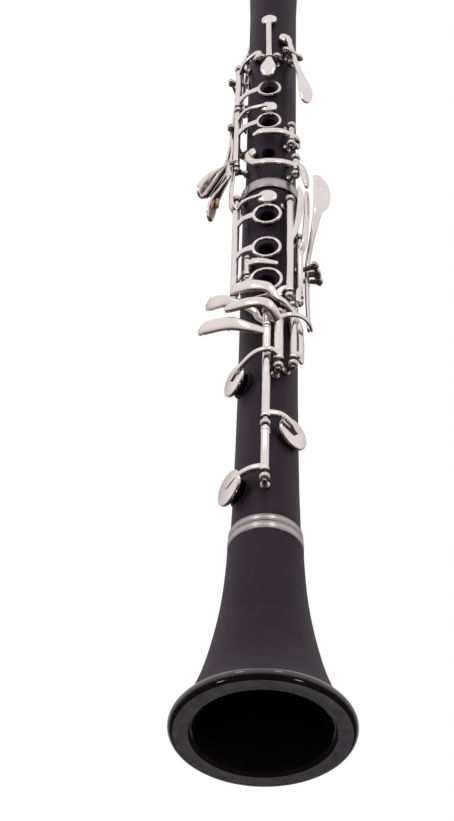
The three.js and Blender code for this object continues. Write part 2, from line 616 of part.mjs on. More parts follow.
piece(
  "second_ring_key",
  "nickel",
  union([
    cut(
      union([
        hingeTube(SECOND, 361.4, 406.2),
        bar([[-66, 19.5, 388.5, 6, 2], [-44, 18.4, 388.5, 4, 1.4], [-19, 17.4, 388.5, 4.4, 1.2]]),
        bar([[-66, 19.7, 400.6, 5, 2], [-40, 19.4, 400.6, 2.8, 1.6], [-14, 18, 400.2, 2.8, 1.5]]),
        bar([[-65, 20.2, 365, 4, 2.2], [-64, 23.4, 361.6, 4, 1.6], [-61, 24.8, 356, 4.4, 1.4], [-58, 24.5, 346.4, 4.4, 1.2]]),
      ]),
      [hingeBore(SECOND)],
    ),
    fingerRing(0, 15.7, 388.5, 6.9, 5.4),
    cup(0, UPPER_WALL, 400.2, 4.5, 1.3),
  ]),
);
piece("upper_rings_rod", "steel", rodAndPosts(SECOND, [358, 409.5, 447]));

piece(
  "c_sharp_key",
  "nickel",
  union([
    cut(
      union([
        hingeTube(C_SHARP, 349.6, 356.8),
        bar([[48, 19.4, 353.6, 4, 2], [24, 19.2, 351.4, 4.4, 2.2], [0, 19, 351, 4.6, 2.2], [-22, 18.8, 353, 4, 2], [-36, 18.1, 359.6, 3.4, 1.7], [-42, 17.3, 366, 3, 1.5]]),
        bar([
          [48, 19.8, 353.6, 4, 2], [52, 22, 351.6, 5, 1.8], [53.6, 23.4, 345, 6, 1.8], [54.4, 24.2, 338, 5, 1.7],
          [55, 24.4, 333.6, 2, 1.3],
        ]),
      ]),
      [hingeBore(C_SHARP)],
    ),
    cup(-42, UPPER_WALL, 366.4, 4.5),
  ]),
);
piece("c_sharp_rod", "steel", rodAndPosts(C_SHARP, [346.4, 360]));

piece(
  "e_flat_sliver_key",
  "nickel",
  union([
    cut(
      union([
        hingeTube(E_FLAT, 374.8, 383.6, 1.6),
        bar([[-26, 17.2, 378.8, 3, 1.4], [-12, 17.9, 378.2, 4.6, 2], [20, 18.3, 377.8, 4.6, 2], [42, 18.3, 378.2, 4, 1.9], [56, 17.9, 380, 3, 1.5], [66, 17, 381, 3, 1.5]]),
      ]),
      [hingeBore(E_FLAT, 1.1)],
    ),
    cup(66, UPPER_WALL, 381, 4.1),
  ]),
);
piece("e_flat_sliver_rod", "steel", rodAndPosts(E_FLAT, [371.6, 386.8], 0.75));

// See-saw keys of the upper joint: { name, pin, hub half width, pin half width, stops, cup }.
const A_PIN = { deg: 0, r: 19.4, z: 441.5 };
const G_SHARP_PIN = { deg: 41, r: 19.4, z: 449 };
const REGISTER_PIN = { deg: 180, r: 19.2, z: 485 };
const UPPER_SEE_SAWS = [
  [
    "a_key", A_PIN, [-3, 482, 4.4],
    [
      [-1, 21, 422.4, 4.4, 1.5], [-1, 21.5, 425.4, 8.6, 2], [-0.5, 21.3, 431, 8, 2], [0, 20.5, 437, 4.6, 2],
      [0, 19.4, 441.5, 3.4, 2.4],
      [-1, 18.8, 455, 3, 1.9], [-2, 18.2, 470, 3, 1.8], [-3, 17.4, 482, 3, 1.6],
    ],
  ],
  [
    "g_sharp_key", G_SHARP_PIN, [34, 466, 4.2],
    [
      [51.5, 25, 403.4, 3, 1.3, -14], [51.5, 25.4, 407, 7.6, 1.6, -14], [51, 25.4, 414, 9, 1.8, -14],
      [49, 24.2, 423, 6.8, 1.8, -8], [45.5, 22, 434, 4, 2],
      [41, 19.4, 449, 3.4, 2.4], [37, 18.4, 459, 3, 1.8], [34, 17.4, 466, 3, 1.6],
    ],
  ],
  [
    "register_key", REGISTER_PIN, [180, 519, 4.2],
    [
      [180, 22.6, 441.6, 3.4, 1.3], [180, 22.8, 446, 8, 1.5], [180, 21.6, 456, 5, 1.7], [180, 19.8, 470, 3, 1.9],
      [180, 19.2, 485, 3.4, 2.4], [180, 18.6, 503, 3, 1.8], [180, 17.4, 519, 3, 1.6],
    ],
  ],
];
for (const [name, pin, [deg, z, radius], stops] of UPPER_SEE_SAWS) {
  piece(name, "nickel", union([seeSaw(pin, 1.8, stops), cup(deg, UPPER_WALL, z, radius)]));
  piece(name.replace("_key", "_pin"), "steel", pinAndPosts(pin, 4.2));
}

// ---- four side keys, two on each of two long pins at the left ----
const SIDE_LOW = { deg: -102.5, r: 20, z: 398 };
const SIDE_HIGH = { deg: -102.5, r: 20.4, z: 438 };
// The distance along the pin at which a lane in the direction deg crosses it.
const lane = (pin, deg) => pin.r * Math.tan(rad(deg - pin.deg));
function hubAt(pin, deg, half, radius) {
  const [start, end] = pinEnds(pin, 1);
  const middle = start.clone().add(end).multiplyScalar(0.5);
  const along = end.clone().sub(start).normalize();
  const far = lane(pin, deg);
  const reach = (s) => middle.clone().addScaledVector(along, far + s * half);
  return rod(reach(-1), reach(1), radius);
}
const SIDE_KEYS = [
  [
    SIDE_LOW, -86, -84, 416,
    [
      [-82, 31.6, 324, 4, 1.4, -34], [-81.6, 31.4, 328, 7.4, 1.9, -34], [-80.5, 29.6, 338, 6.8, 2, -34],
      [-81, 26, 348, 4.6, 2, -16], [-84, 22.6, 360, 3.2, 2], [-86, 21, 380, 3, 2],
    ],
  ],
  [
    SIDE_LOW, -97, -101, 423,
    [
      [-86, 37, 346, 5, 1.4, -40], [-86.4, 36, 349.6, 10.4, 1.9, -40], [-87.4, 31.4, 360, 9, 2, -36],
      [-92, 25.4, 371, 4.4, 2, -14], [-98, 21.8, 384, 3, 2],
    ],
  ],
  [
    SIDE_HIGH, -108, -104, 470,
    [
      [-98, 37, 355, 5, 1.4, -40], [-98.4, 36, 358.6, 10.4, 1.9, -40], [-99, 31.6, 368, 10.4, 2, -36],
      [-104, 26.4, 379, 6, 2, -14], [-109, 24.6, 398, 3, 2], [-108, 22.6, 424, 3, 2],
    ],
  ],
  [
    SIDE_HIGH, -119, -122, 484,
    [
      [-109, 36.4, 364, 5, 1.4, -40], [-109.4, 35.4, 367.6, 10.4, 1.9, -40], [-111, 31.8, 376, 9.6, 2, -34],
      [-116, 27.4, 386, 5.4, 2, -12], [-120, 25.8, 400, 3, 2], [-119, 23, 424, 3, 2],
    ],
  ],
];
SIDE_KEYS.forEach(([pin, deg, padDeg, padZ, touch], i) => {
  const r = pin.r / Math.cos(rad(deg - pin.deg));
  const tail = [[deg, r, pin.z, 3, 2.4], [padDeg, 18.6, (pin.z + padZ) / 2 + 2, 2.8, 1.8], [padDeg, 17.4, padZ, 2.8, 1.6]];
  const lever = cut(union([bar([...touch, ...tail]), hubAt(pin, deg, 1.5, 1.9)]), [pinBore(pin)]);
  piece(`side_key_${i + 1}`, "nickel", union([lever, cup(padDeg, UPPER_WALL, padZ, 3.5)]));
});
piece("side_low_pin", "steel", pinAndPosts(SIDE_LOW, 10));
piece("side_high_pin", "steel", pinAndPosts(SIDE_HIGH, 10.2));

export default clarinet;
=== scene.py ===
"""The look of a B-flat clarinet round its CAD frame: resin, plated keys, pads, corks and a cane reed."""

import math
from collections import namedtuple

import bmesh
import bpy
from mathutils import Matrix, Quaternion, Vector

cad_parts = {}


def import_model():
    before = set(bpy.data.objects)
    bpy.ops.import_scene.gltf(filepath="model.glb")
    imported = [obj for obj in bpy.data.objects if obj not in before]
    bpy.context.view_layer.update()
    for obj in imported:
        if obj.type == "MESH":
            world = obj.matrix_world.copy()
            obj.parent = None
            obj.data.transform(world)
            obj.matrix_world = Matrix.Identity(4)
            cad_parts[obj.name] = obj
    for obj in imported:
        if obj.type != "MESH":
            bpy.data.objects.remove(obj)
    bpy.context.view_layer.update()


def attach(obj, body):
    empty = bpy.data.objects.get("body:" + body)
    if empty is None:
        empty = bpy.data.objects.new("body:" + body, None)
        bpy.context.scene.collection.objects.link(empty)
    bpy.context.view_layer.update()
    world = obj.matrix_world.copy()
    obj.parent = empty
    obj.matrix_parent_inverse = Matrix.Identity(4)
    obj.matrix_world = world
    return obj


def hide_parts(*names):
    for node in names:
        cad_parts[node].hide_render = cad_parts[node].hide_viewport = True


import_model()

MM = 0.001  # everything below is written in millimetres and made in metres
BORE = 7.4
GAP = 0.3
SEAT = 0.35
LOWER_WALL = 14.5
UPPER_WALL = 13.3
BELL_TOP = 103.6
JOINT_TOP = 342.0
UPPER_TOP = 536.0
BARREL_TOP = 601.0
TIP = 673.0
ROUND = 128  # sides of the turned joints
TUBE = 1.9
TUBE_BORE = 1.3
ROD = 0.95
PAD_LIFT = 2.6
UP = Vector((0, 0, 1))
LOWER, UPPER = "lower_section", "upper_section"
Hinge = namedtuple("Hinge", "deg r low high")  # a line along the bore
Pin = namedtuple("Pin", "deg r z")  # the middle of a line across it


# ---- places ----
def at(deg, r, z):
    """A point round the bore: degrees from the front towards +X, radius and height."""
    a = math.radians(deg)
    return Vector((r * math.sin(a), -r * math.cos(a), z))


def aim(place, direction):
    """The matrix that takes the Z axis to a direction and the origin to a place."""
    turn = UP.rotation_difference(Vector(direction)).to_matrix().to_4x4()
    return Matrix.Translation(place) @ turn


WALLS = [
    (108.2, 16.1), (114, 15.8), (135, 15.2), (165, 14.8), (200, LOWER_WALL), (326, LOWER_WALL), (331, 14.9),
    (JOINT_TOP, 15.9), (JOINT_TOP + GAP, 14.2), (346, 14.0), (352, UPPER_WALL), (505, UPPER_WALL),
    (UPPER_TOP, 14.2),
]


def wall_at(z):
    """The joints' outside radius at a height."""
    for (low, a), (high, b) in zip(WALLS, WALLS[1:]):
        if z <= high:
            return a + (b - a) * (z - low) / (high - low)
    return WALLS[-1][1]


# ---- meshes ----
def add_object(name, data):
    obj = bpy.data.objects.new(name, data)
    bpy.context.scene.collection.objects.link(obj)
    return obj


def mesh_object(name, verts, faces):
    mesh = bpy.data.meshes.new(name)
    mesh.from_pydata([tuple(Vector(v) * MM) for v in verts], [], faces)
    mesh.update()
    return add_object(name, mesh)


def turned(profile, sides=48, matrix=None, name="turned"):
    """A solid turned about Z from (radius, height) pairs: from axis to axis, or closed on themselves."""
    closed = profile[0] == profile[-1]
    points = profile[:-1] if closed else profile
    verts = []
    rows = []
    for r, z in points:
        if r < 1e-6:
            rows.append([len(verts)])
            verts.append(Vector((0, 0, z)))
            continue
        rows.append(list(range(len(verts), len(verts) + sides)))
        for i in range(sides):
            a = 2 * math.pi * i / sides
            verts.append(Vector((r * math.cos(a), r * math.sin(a), z)))
    faces = []
    pairs = list(zip(rows, rows[1:])) + ([(rows[-1], rows[0])] if closed else [])
    for low, high in pairs:
        for i in range(sides):
            j = (i + 1) % sides
            quad = [low[i % len(low)], low[j % len(low)], high[j % len(high)], high[i % len(high)]]
            face = list(dict.fromkeys(quad))
            if len(face) > 2:
                faces.append(face)
    if matrix:
        verts = [matrix @ v for v in verts]
    return facing_out(mesh_object(name, verts, faces))


def facing_out(obj):
    """Turns every face of a closed mesh outwards."""
    shape = bmesh.new()
    shape.from_mesh(obj.data)
    bmesh.ops.recalc_face_normals(shape, faces=shape.faces)
    if shape.calc_volume(signed=True) < 0:
        bmesh.ops.reverse_faces(shape, faces=shape.faces)
    shape.to_mesh(obj.data)
    shape.free()
    return obj


def rounded(corners, radius, steps=4):
    """A profile with rounded corners: each is (r, z) or (r, z, its own radius). Open ends stay sharp."""
    result = []
    closed = corners[0][:2] == corners[-1][:2]
    points = corners[:-1] if closed else corners
    count = len(points)
    for i, corner in enumerate(points):
        here = Vector(corner[:2])
        wanted = corner[2] if len(corner) > 2 else radius
        if not closed and i in (0, count - 1) or wanted == 0:
            result.append(tuple(here))
            continue
        before = Vector(points[i - 1][:2]) - here
        after = Vector(points[(i + 1) % count][:2]) - here
        reach = min(wanted, before.length * 0.45, after.length * 0.45)
        start = here + before.normalized() * reach
        end = here + after.normalized() * reach
        for k in range(steps + 1):
            t = k / steps
            point = start * (1 - t) ** 2 + here * 2 * t * (1 - t) + end * t**2
            result.append(tuple(point))
    if closed:
        result.append(result[0])
    return result


def smooth_path(stops, steps):
    """Catmull-Rom through rows of numbers, so a bar's place, width and thickness all change smoothly."""
    result = []
    last = len(stops) - 1
    for i in range(last):
        p0, p1, p2, p3 = (stops[min(max(k, 0), last)] for k in (i - 1, i, i + 1, i + 2))
        for step in range(steps):
            t = step / steps
            row = []
            for a, b, c, d in zip(p0, p1, p2, p3):
                square, cube = 2 * a - 5 * b + 4 * c - d, 3 * b - a - 3 * c + d
                row.append((2 * b + (c - a) * t + square * t * t + cube * t**3) / 2)
            result.append(row)
    result.append(list(stops[-1]))
    return result


def bar(stops, start_round=False, end_round=False, steps=7, sides=20, crown=2.6):
    """A plated bar swept round the bore through stops of (deg, r, z, width, thickness, roll).

    Without a roll, the thickness points out from the bore. A rounded end is a half circle in plan.
    """
    rows = smooth_path([(*at(*stop[:3]), *stop[3:], *[0] * (6 - len(stop))) for stop in stops], steps)
    centres = [Vector(row[:3]) for row in rows]
    sections = []
    for i, row in enumerate(rows):
        ahead = (centres[min(i + 1, len(rows) - 1)] - centres[max(i - 1, 0)]).normalized()
        sections.append((centres[i], ahead, row[3] / 2, row[4] / 2, row[5]))
    for wanted, index, sign in ((start_round, 0, -1), (end_round, -1, 1)):
        if not wanted:
            continue
        centre, ahead, half, thick, roll = sections[index]
        cap = []
        for k in range(1, 7):
            a = math.radians(15 * k) * 0.985
            place = centre + ahead * sign * half * math.sin(a)
            cap.append((place, ahead, half * math.cos(a), thick * math.cos(a) ** 0.4, roll))
        sections = cap[::-1] + sections if sign < 0 else sections + cap
    verts = []
    for centre, ahead, half, thick, roll in sections:
        side = ahead.cross(Vector((centre.x, centre.y, 0))).normalized()
        side.rotate(Quaternion(ahead, math.radians(roll)))
        up = side.cross(ahead).normalized()
        for j in range(sides):
            a = 2 * math.pi * j / sides
            c, s = math.cos(a), math.sin(a)
            across = math.copysign(abs(c) ** (2 / crown), c) * half
            over = math.copysign(abs(s) ** (2 / crown), s) * thick
            verts.append(centre + side * across + up * over)
    faces = []
    for i in range(len(sections) - 1):
        for j in range(sides):
            k = (j + 1) % sides
            faces.append((i * sides + j, i * sides + k, (i + 1) * sides + k, (i + 1) * sides + j))
    faces.append(tuple(range(sides)))
    faces.append(tuple(range((len(sections) - 1) * sides, len(sections) * sides)))
    return facing_out(mesh_object("bar", verts, faces))


def touch_bar(stops):
    """A bar that starts at a rounded finger touch."""
    return bar(stops, True)


def arm(stops):
    """A bar that starts inside a tube and has a rounded free end."""
    return bar(stops, False, True)


def rod(start, end, radius, sides=24, chamfer=0.15):
    """A round bar between two points, with its edges broken."""
    along = end - start
    length = along.length
    corners = [(0, 0), (radius, 0), (radius, length), (0, length)]
    return turned(rounded(corners, chamfer, 2), sides, aim(start, along))


def box(width, depth, height, matrix):
    """A plain block, used to cut with or to build on."""
    signs = (-1, 1)
    verts = [
        Vector((x * width / 2, y * depth / 2, z * height / 2))
        for x in signs for y in signs for z in signs
    ]
    faces = [(0, 1, 3, 2), (4, 6, 7, 5), (0, 4, 5, 1), (2, 3, 7, 6), (0, 2, 6, 4), (1, 5, 7, 3)]
    return facing_out(mesh_object("box", [matrix @ v for v in verts], faces))


def combine(base, tool, operation):
    """Joins, cuts or meets two closed solids, and removes the second."""
    step = base.modifiers.new("combine", "BOOLEAN")
    step.solver = "MANIFOLD"
    step.operation = operation
    step.object = tool
    bpy.context.view_layer.update()
    made = bpy.data.meshes.new_from_object(base.evaluated_get(bpy.context.evaluated_depsgraph_get()))
    base.modifiers.clear()
    old = base.data
    base.data = made
    bpy.data.meshes.remove(old)
    bpy.data.meshes.remove(tool.data)
    return base


def fuse(parts):
    base = parts[0]
    for part in parts[1:]:
        combine(base, part, "UNION")
    return base


def cut(base, tools):
    for tool in tools:
        combine(base, tool, "DIFFERENCE")
    return base


def piece(obj, name, body, material, replaces=(), sharp=32):
    """Names a finished solid, shades it, and ties it to its body in the frame."""
    obj.name = name
    obj.data.name = name
    obj.data.materials.clear()
    for one in material if isinstance(material, list) else [material]:
        obj.data.materials.append(one)
    obj.data.shade_smooth()
    obj.data.set_sharp_from_angle(angle=math.radians(sharp))
    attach(obj, body)
    if replaces:
        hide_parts(*replaces)
    return obj


# ---- materials ----
def set_inputs(node, values):
    """Sets a shader node's inputs by name, with underscores for spaces."""
    for key, value in values.items():
        node.inputs[key.replace("_", " ")].default_value = value


def add_node(nodes, kind, **values):
    node = nodes.new("ShaderNode" + kind)
    set_inputs(node, values)
    return node


def add_ramp(nodes, stops):
    """A colour ramp from (place, colour or shade of grey) pairs."""
    node = add_node(nodes, "ValToRGB")
    points = node.color_ramp.elements
    while len(points) < len(stops):
        points.new(0.5)
    for point, (place, colour) in zip(points, stops):
        point.position = place
        point.color = (*colour, 1) if isinstance(colour, tuple) else (colour, colour, colour, 1)
    return node


class Shader:
    """A Principled material with short calls for its noise, colour and bump nodes."""

    def __init__(self, name, **values):
        self.material = bpy.data.materials.new(name)
        self.material.use_nodes = True
        self.nodes = self.material.node_tree.nodes
        self.links = self.material.node_tree.links
        self.shader = self.nodes["Principled BSDF"]
        set_inputs(self.shader, values)
        self.place = add_node(self.nodes, "TexCoord").outputs["Object"]

    def noise(self, scale, detail=4.0, stretch=(1, 1, 1), rough=0.5):
        squeeze = add_node(self.nodes, "Mapping", Scale=stretch)
        self.links.new(self.place, squeeze.inputs["Vector"])
        node = add_node(self.nodes, "TexNoise", Scale=scale, Detail=detail, Roughness=rough)
        self.links.new(squeeze.outputs["Vector"], node.inputs["Vector"])
        return node.outputs["Fac"]

    def cells(self, scale):
        node = add_node(self.nodes, "TexVoronoi", Scale=scale)
        self.links.new(self.place, node.inputs["Vector"])
        return node.outputs["Distance"]

    def ramp(self, source, stops, target=None):
        node = add_ramp(self.nodes, stops)
        self.links.new(source, node.inputs["Fac"])
        if target:
            self.links.new(node.outputs["Color"], self.shader.inputs[target])
        return node.outputs["Color"]

    def bump(self, *layers):
        """Each layer is (height source, depth in metres)."""
        normal = None
        for source, depth in layers:
            node = add_node(self.nodes, "Bump", Distance=depth)
            self.links.new(source, node.inputs["Height"])
            if normal:
                self.links.new(normal, node.inputs["Normal"])
            normal = node.outputs["Normal"]
        self.links.new(normal, self.shader.inputs["Normal"])
        return self.material


def resin(name, dark, light, shine, grain=0.00006):
    """Black resin, its grain brushed along the bore, with faint handling marks and dull or satin shine."""
    look = Shader(name, Specular_IOR_Level=0.16)
    brushed = look.noise(1500, 3, (1, 1, 0.045), 0.6)
    marks = look.noise(60, 5, rough=0.6)
    look.ramp(look.noise(22, 4), [(0.3, dark), (0.75, light)], "Base Color")
    look.ramp(marks, [(0.25, shine), (0.8, shine + 0.13)], "Roughness")
    return look.bump((brushed, grain), (look.noise(900, 2), grain / 3))


def polished(name, colour, shine, coat=0.5):
    """Polished black resin or ebonite with faint swirls."""
    look = Shader(name, Base_Color=(*colour, 1), Coat_Weight=coat, Coat_Roughness=0.06)
    look.ramp(look.noise(80, 5), [(0.3, shine), (0.8, shine + 0.1)], "Roughness")
    return look.bump((look.noise(260, 3), 0.00002))


def satin_rim():
    """The bell's flat rim face, ground to a grey satin with mottled marks."""
    look = Shader("satin_rim", Specular_IOR_Level=0.5)
    mottled = look.noise(190, 6, rough=0.7)
    look.ramp(mottled, [(0.3, (0.05, 0.047, 0.055)), (0.7, (0.12, 0.114, 0.13))], "Base Color")
    look.ramp(mottled, [(0.3, 0.34), (0.8, 0.55)], "Roughness")
    return look.bump((mottled, 0.00006))


def plate(name, colour, shine, tint):
    """Plated metal with smudges, fine scratches and a slight unevenness from buffing."""
    look = Shader(name, Metallic=1.0)
    smudges = look.noise(120, 6, rough=0.6)
    look.ramp(smudges, [(0.3, shine), (0.62, shine + 0.06), (0.85, shine + 0.16)], "Roughness")
    look.ramp(look.noise(45, 4), [(0.3, colour), (0.8, tint)], "Base Color")
    return look.bump((look.noise(150, 2), 0.00006), (look.noise(2600, 2, (1, 1, 0.08)), 0.000006))


def cork_look(name, dark, light):
    look = Shader(name, Roughness=0.92)
    grains = look.cells(1300)
    look.ramp(grains, [(0.1, light), (0.7, dark)], "Base Color")
    return look.bump((grains, 0.0003), (look.noise(500, 5), 0.0002))


def pad_look():
    """Fish-skin pad: cream, slightly wrinkled, a little shiny."""
    look = Shader("pad_skin", Subsurface_Weight=0.08, Sheen_Weight=0.1)
    wrinkles = look.noise(420, 5, rough=0.65)
    look.ramp(wrinkles, [(0.3, (0.55, 0.47, 0.36)), (0.75, (0.82, 0.76, 0.64))], "Base Color")
    look.ramp(wrinkles, [(0.3, 0.45), (0.8, 0.65)], "Roughness")
    return look.bump((wrinkles, 0.0001))


def cane_look():
    """Reed cane: pale gold with darker fibres along its length."""
    look = Shader("reed_cane", Subsurface_Weight=0.05)
    fibres = look.noise(1400, 4, (1, 1, 0.02), 0.7)
    look.ramp(fibres, [(0.3, (0.46, 0.29, 0.1)), (0.7, (0.74, 0.55, 0.26))], "Base Color")
    look.ramp(look.noise(300, 3, (1, 1, 0.05)), [(0.3, 0.5), (0.8, 0.68)], "Roughness")
    return look.bump((fibres, 0.0001))


BODY = resin("body_resin", (0.009, 0.0048, 0.0092), (0.0145, 0.0088, 0.015), 0.4)
BELL = resin("bell_resin", (0.0095, 0.0053, 0.0098), (0.0155, 0.0098, 0.016), 0.44)
GLOSS = polished("polished_black", (0.003, 0.003, 0.0035), 0.05, 0.9)
# Painted shade: the bell's inside is the body resin painted near black, standing in for the shade in the
# flare's hollow.
SHADED_INSIDE = resin("bell_inside_painted_shade", (0.0008, 0.0005, 0.0009), (0.0016, 0.0011, 0.0018), 0.55)
EBONITE = polished("ebonite", (0.007, 0.007, 0.008), 0.12, 0.6)
RIM = satin_rim()
NICKEL = plate("nickel_plate", (0.86, 0.8, 0.79), 0.12, (0.77, 0.7, 0.69))
# Painted shade: the ferrules' plating is a darker copy of the key plating, standing in for the shadow the
# ferrules sit in.
RINGS = plate("ring_plate", (0.52, 0.49, 0.485), 0.26, (0.4, 0.375, 0.37))
STEEL = plate("post_plate", (0.7, 0.65, 0.64), 0.15, (0.56, 0.51, 0.5))
BLUED = plate("blued_spring", (0.16, 0.17, 0.22), 0.25, (0.09, 0.1, 0.14))
CORK = cork_look("tenon_cork", (0.24, 0.13, 0.065), (0.6, 0.4, 0.24))
BUMPER = cork_look("bumper_cork", (0.3, 0.17, 0.09), (0.68, 0.47, 0.3))
PAD = pad_look()
CANE = cane_look()


# ---- bell ----
# The bell's (radius, height): down its outside to the bead, then up its inside.
FLARE = [
    (17.2, 98.8), (17.5, 91), (18.5, 76), (20.1, 62), (22.4, 48.5), (25.3, 35), (28.1, 25), (31.4, 16),
    (34.6, 9.6), (36.7, 6.6),
]
INNER_FLARE = [
    (31.3, 0.25), (30.2, 0.9), (28.6, 2.6), (26.6, 5.4), (24.4, 9.2), (21.8, 14.6), (19.4, 20.6),
    (17.1, 28), (15.1, 36.6), (13.5, 45), (12.2, 54), (11.3, 63), (10.5, 73), (10.4, 80),
]


def bell():
    """The bell, whose outside, polished bead, satin rim face and inside have a material each; the inside's
    near-black colour is painted shade.
    """
    outside = [tuple(row) for row in smooth_path(FLARE, 5)]
    bead_r, bead_z, bead_round = 36.9, 3.15, 3.1
    bead = []
    for k in range(12):
        a = math.radians(94 - 16.8 * k)
        bead.append((bead_r + bead_round * math.cos(a), bead_z + bead_round * math.sin(a)))
    inside = [tuple(row) for row in smooth_path(INNER_FLARE, 4)]
    socket = [
        (14.2, 80), (14.2, BELL_TOP - 0.4), (14.5, BELL_TOP), (15.2, BELL_TOP), (15.4, BELL_TOP - 0.3),
    ]
    shoulder = [(15.4, 98.8)]
    profile = outside + bead + inside + socket + shoulder
    made = turned(profile + profile[:1], ROUND)
    looks = {"outside": 0, "bead": 1, "rim": 2, "inside": 3}
    for face in made.data.polygons:
        centre = face.center / MM
        r = math.hypot(centre.x, centre.y)
        flat = face.normal.z < -0.93
        if flat and 31.3 < r < 37.6 and centre.z < 1:
            face.material_index = looks["rim"]
        elif centre.z < 6.2 and r > 29.3:
            face.material_index = looks["bead"]
        # Inward faces take the near-black inside material, which is painted shade.
        elif face.normal.x * centre.x + face.normal.y * centre.y < 0:
            face.material_index = looks["inside"]
    return made


bell_piece = bell()
kinds = [face.material_index for face in bell_piece.data.polygons]
piece(
    bell_piece, "bell_shell", "bell_section", [BELL, GLOSS, RIM, SHADED_INSIDE], ["bell"], sharp=50,
)
bell_piece.data.polygons.foreach_set("material_index", kinds)


def band(inner, outer, low, high, name, body):
    """A plated ferrule with rounded edges and one fine turned line near each edge; its plating is darkened
    as painted shade.
    """
    corners = [(inner, low), (outer - 0.15, low, 0.5)]
    for z in (low + 0.95, high - 0.95):
        corners += [(outer, z - 0.16, 0.05), (outer - 0.12, z, 0.05), (outer, z + 0.16, 0.05)]
    corners += [(outer - 0.15, high, 0.5), (inner, high), (inner, low)]
    ring = turned(rounded(corners, 0.2, 3), ROUND)
    piece(ring, name + "_ferrule", body, RINGS, [name])


band(15.7, 17.3, 99.1, BELL_TOP, "bell_ring", "bell_section")
band(15.5, 17.0, BELL_TOP + GAP, 107.9, "lower_joint_bottom_ring", LOWER)
band(14.3, 15.9, 334.9, JOINT_TOP, "lower_joint_top_ring", LOWER)
band(14.9, 16.3, UPPER_TOP + GAP, 541, "barrel_bottom_ring", "barrel_section")
band(14.7, 16.1, 595.9, BARREL_TOP, "barrel_top_ring", "barrel_section")

# ---- tone holes: (deg, z, hole radius, rim radius, rim height) ----
LOWER_HOLES = [
    (0, 310.5, 4.1, 5.2, 2.0), (0, 285, 4.2, 5.3, 2.0), (0, 261, 4.8, 6.0, 2.0), (0, 323.5, 3.2, 4.6, SEAT),
    (-88, 274, 2.6, 3.6, SEAT), (63, 236.6, 3.6, 4.6, SEAT), (-52, 196.7, 5.6, 6.9, SEAT),
    (51, 161.4, 5.8, 7.2, SEAT), (-52, 127.9, 6.0, 7.4, SEAT),
]
UPPER_HOLES = [
    (0, 417, 3.2, 4.0, 2.0), (0, 388.5, 3.7, 4.7, 2.0), (0, 365, 3.7, 4.4, 0.25), (180, 430, 3.6, 4.6, 2.0),
    (0, 400.2, 2.4, 3.7, SEAT), (-29, 449.5, 2.0, 3.3, SEAT), (-42, 366.4, 2.4, 3.5, SEAT),
    (66, 381, 2.1, 3.2, SEAT), (-3, 482, 2.0, 3.3, SEAT), (34, 466, 2.0, 3.1, SEAT),
    (180, 519, 1.5, 3.1, SEAT), (-84, 416, 1.9, 2.9, SEAT), (-101, 423, 1.9, 2.9, SEAT),
    (-104, 470, 1.9, 2.9, SEAT), (-122, 484, 1.9, 2.9, SEAT), (-158, 417, 1.7, 2.6, SEAT),
]


def raised(profile, deg, r, z, sides=48):
    """A turned solid whose axis points out from the bore at a place on the wall."""
    return turned(profile, sides, aim(at(deg, r, z), at(deg, 1, 0)))


def drilled(blank, holes, wall):
    """Adds a rounded rim round each tone hole, then drills it and breaks its edge."""
    for deg, z, hole, rim, height in holes:
        lip = min(0.5, height * 0.6)
        mound = rounded([(0, -2), (rim, -2), (rim, height, lip), (0, height)], lip, 4)
        combine(blank, raised(mound, deg, wall, z, 40), "UNION")
    for deg, z, hole, rim, height in holes:
        edge = 0.35
        drill = [
            (0, BORE - wall - 1), (hole, BORE - wall - 1), (hole, height - edge), (hole + edge, height),
            (hole + edge, 4), (0, 4),
        ]
        combine(blank, raised(drill, deg, wall, z, 40), "DIFFERENCE")
    return blank


lower_profile = rounded([
    (BORE + 2.2, 82), (12.4, 82), (12.4, 84.5), (12.9, 84.5), (12.9, 86), (12.4, 86), (12.4, 100),
    (13.2, 100), (13.2, BELL_TOP + GAP), (15.2, BELL_TOP + GAP), (15.2, 108.2), (16.1, 108.2), (15.8, 114),
    (15.2, 135), (14.8, 165), (LOWER_WALL, 200), (LOWER_WALL, 326), (14.9, 331), (14.9, 334.6),
    (14.0, 334.6), (14.0, JOINT_TOP), (11.4, JOINT_TOP), (11.4, 328), (BORE, 328), (BORE, 200),
    (BORE + 2.2, 82),
], 0.3, 3)
piece(
    drilled(turned(lower_profile, ROUND), LOWER_HOLES, LOWER_WALL), "lower_joint_body", LOWER,
    BODY, ["lower_joint"],
)
upper_profile = rounded([
    (BORE, 329.5), (10.0, 329.5), (10.0, 331.4), (9.6, 331.4), (9.6, 340), (10.8, 340),
    (10.8, JOINT_TOP + GAP), (14.2, JOINT_TOP + GAP), (14.0, 346), (UPPER_WALL, 352), (UPPER_WALL, 505),
    (14.2, UPPER_TOP), (10.8, UPPER_TOP), (10.8, 538), (9.6, 538), (9.6, 549.4), (10.0, 549.4), (10.0, 551),
    (BORE, 551), (BORE, 329.5),
], 0.3, 3)
piece(
    drilled(turned(upper_profile, ROUND), UPPER_HOLES, UPPER_WALL), "upper_joint_body", UPPER,
    BODY, ["upper_joint"],
)


def tenon_cork(node, body, inner, outer, low, high):
    """A lapped cork sleeve, bevelled at both ends."""
    corners = [
        (inner, low), (outer - 0.5, low), (outer, low + 0.9), (outer, high - 0.9), (outer - 0.5, high),
    ]
    sleeve = turned(rounded([*corners, (inner, high), (inner, low)], 0.3, 2), 96)
    piece(sleeve, node + "_sleeve", body, CORK, [node])


tenon_cork("bell_tenon_cork", LOWER, 12.7, 13.9, 86.4, 99.7)
tenon_cork("middle_tenon_cork", UPPER, 9.9, 11.05, 331.8, 339.6)
tenon_cork("barrel_tenon_cork", UPPER, 9.9, 11.05, 538.4, 549)
tenon_cork("mouthpiece_tenon_cork", "mouthpiece_section", 9.9, 11.05, 588.2, 598.6)

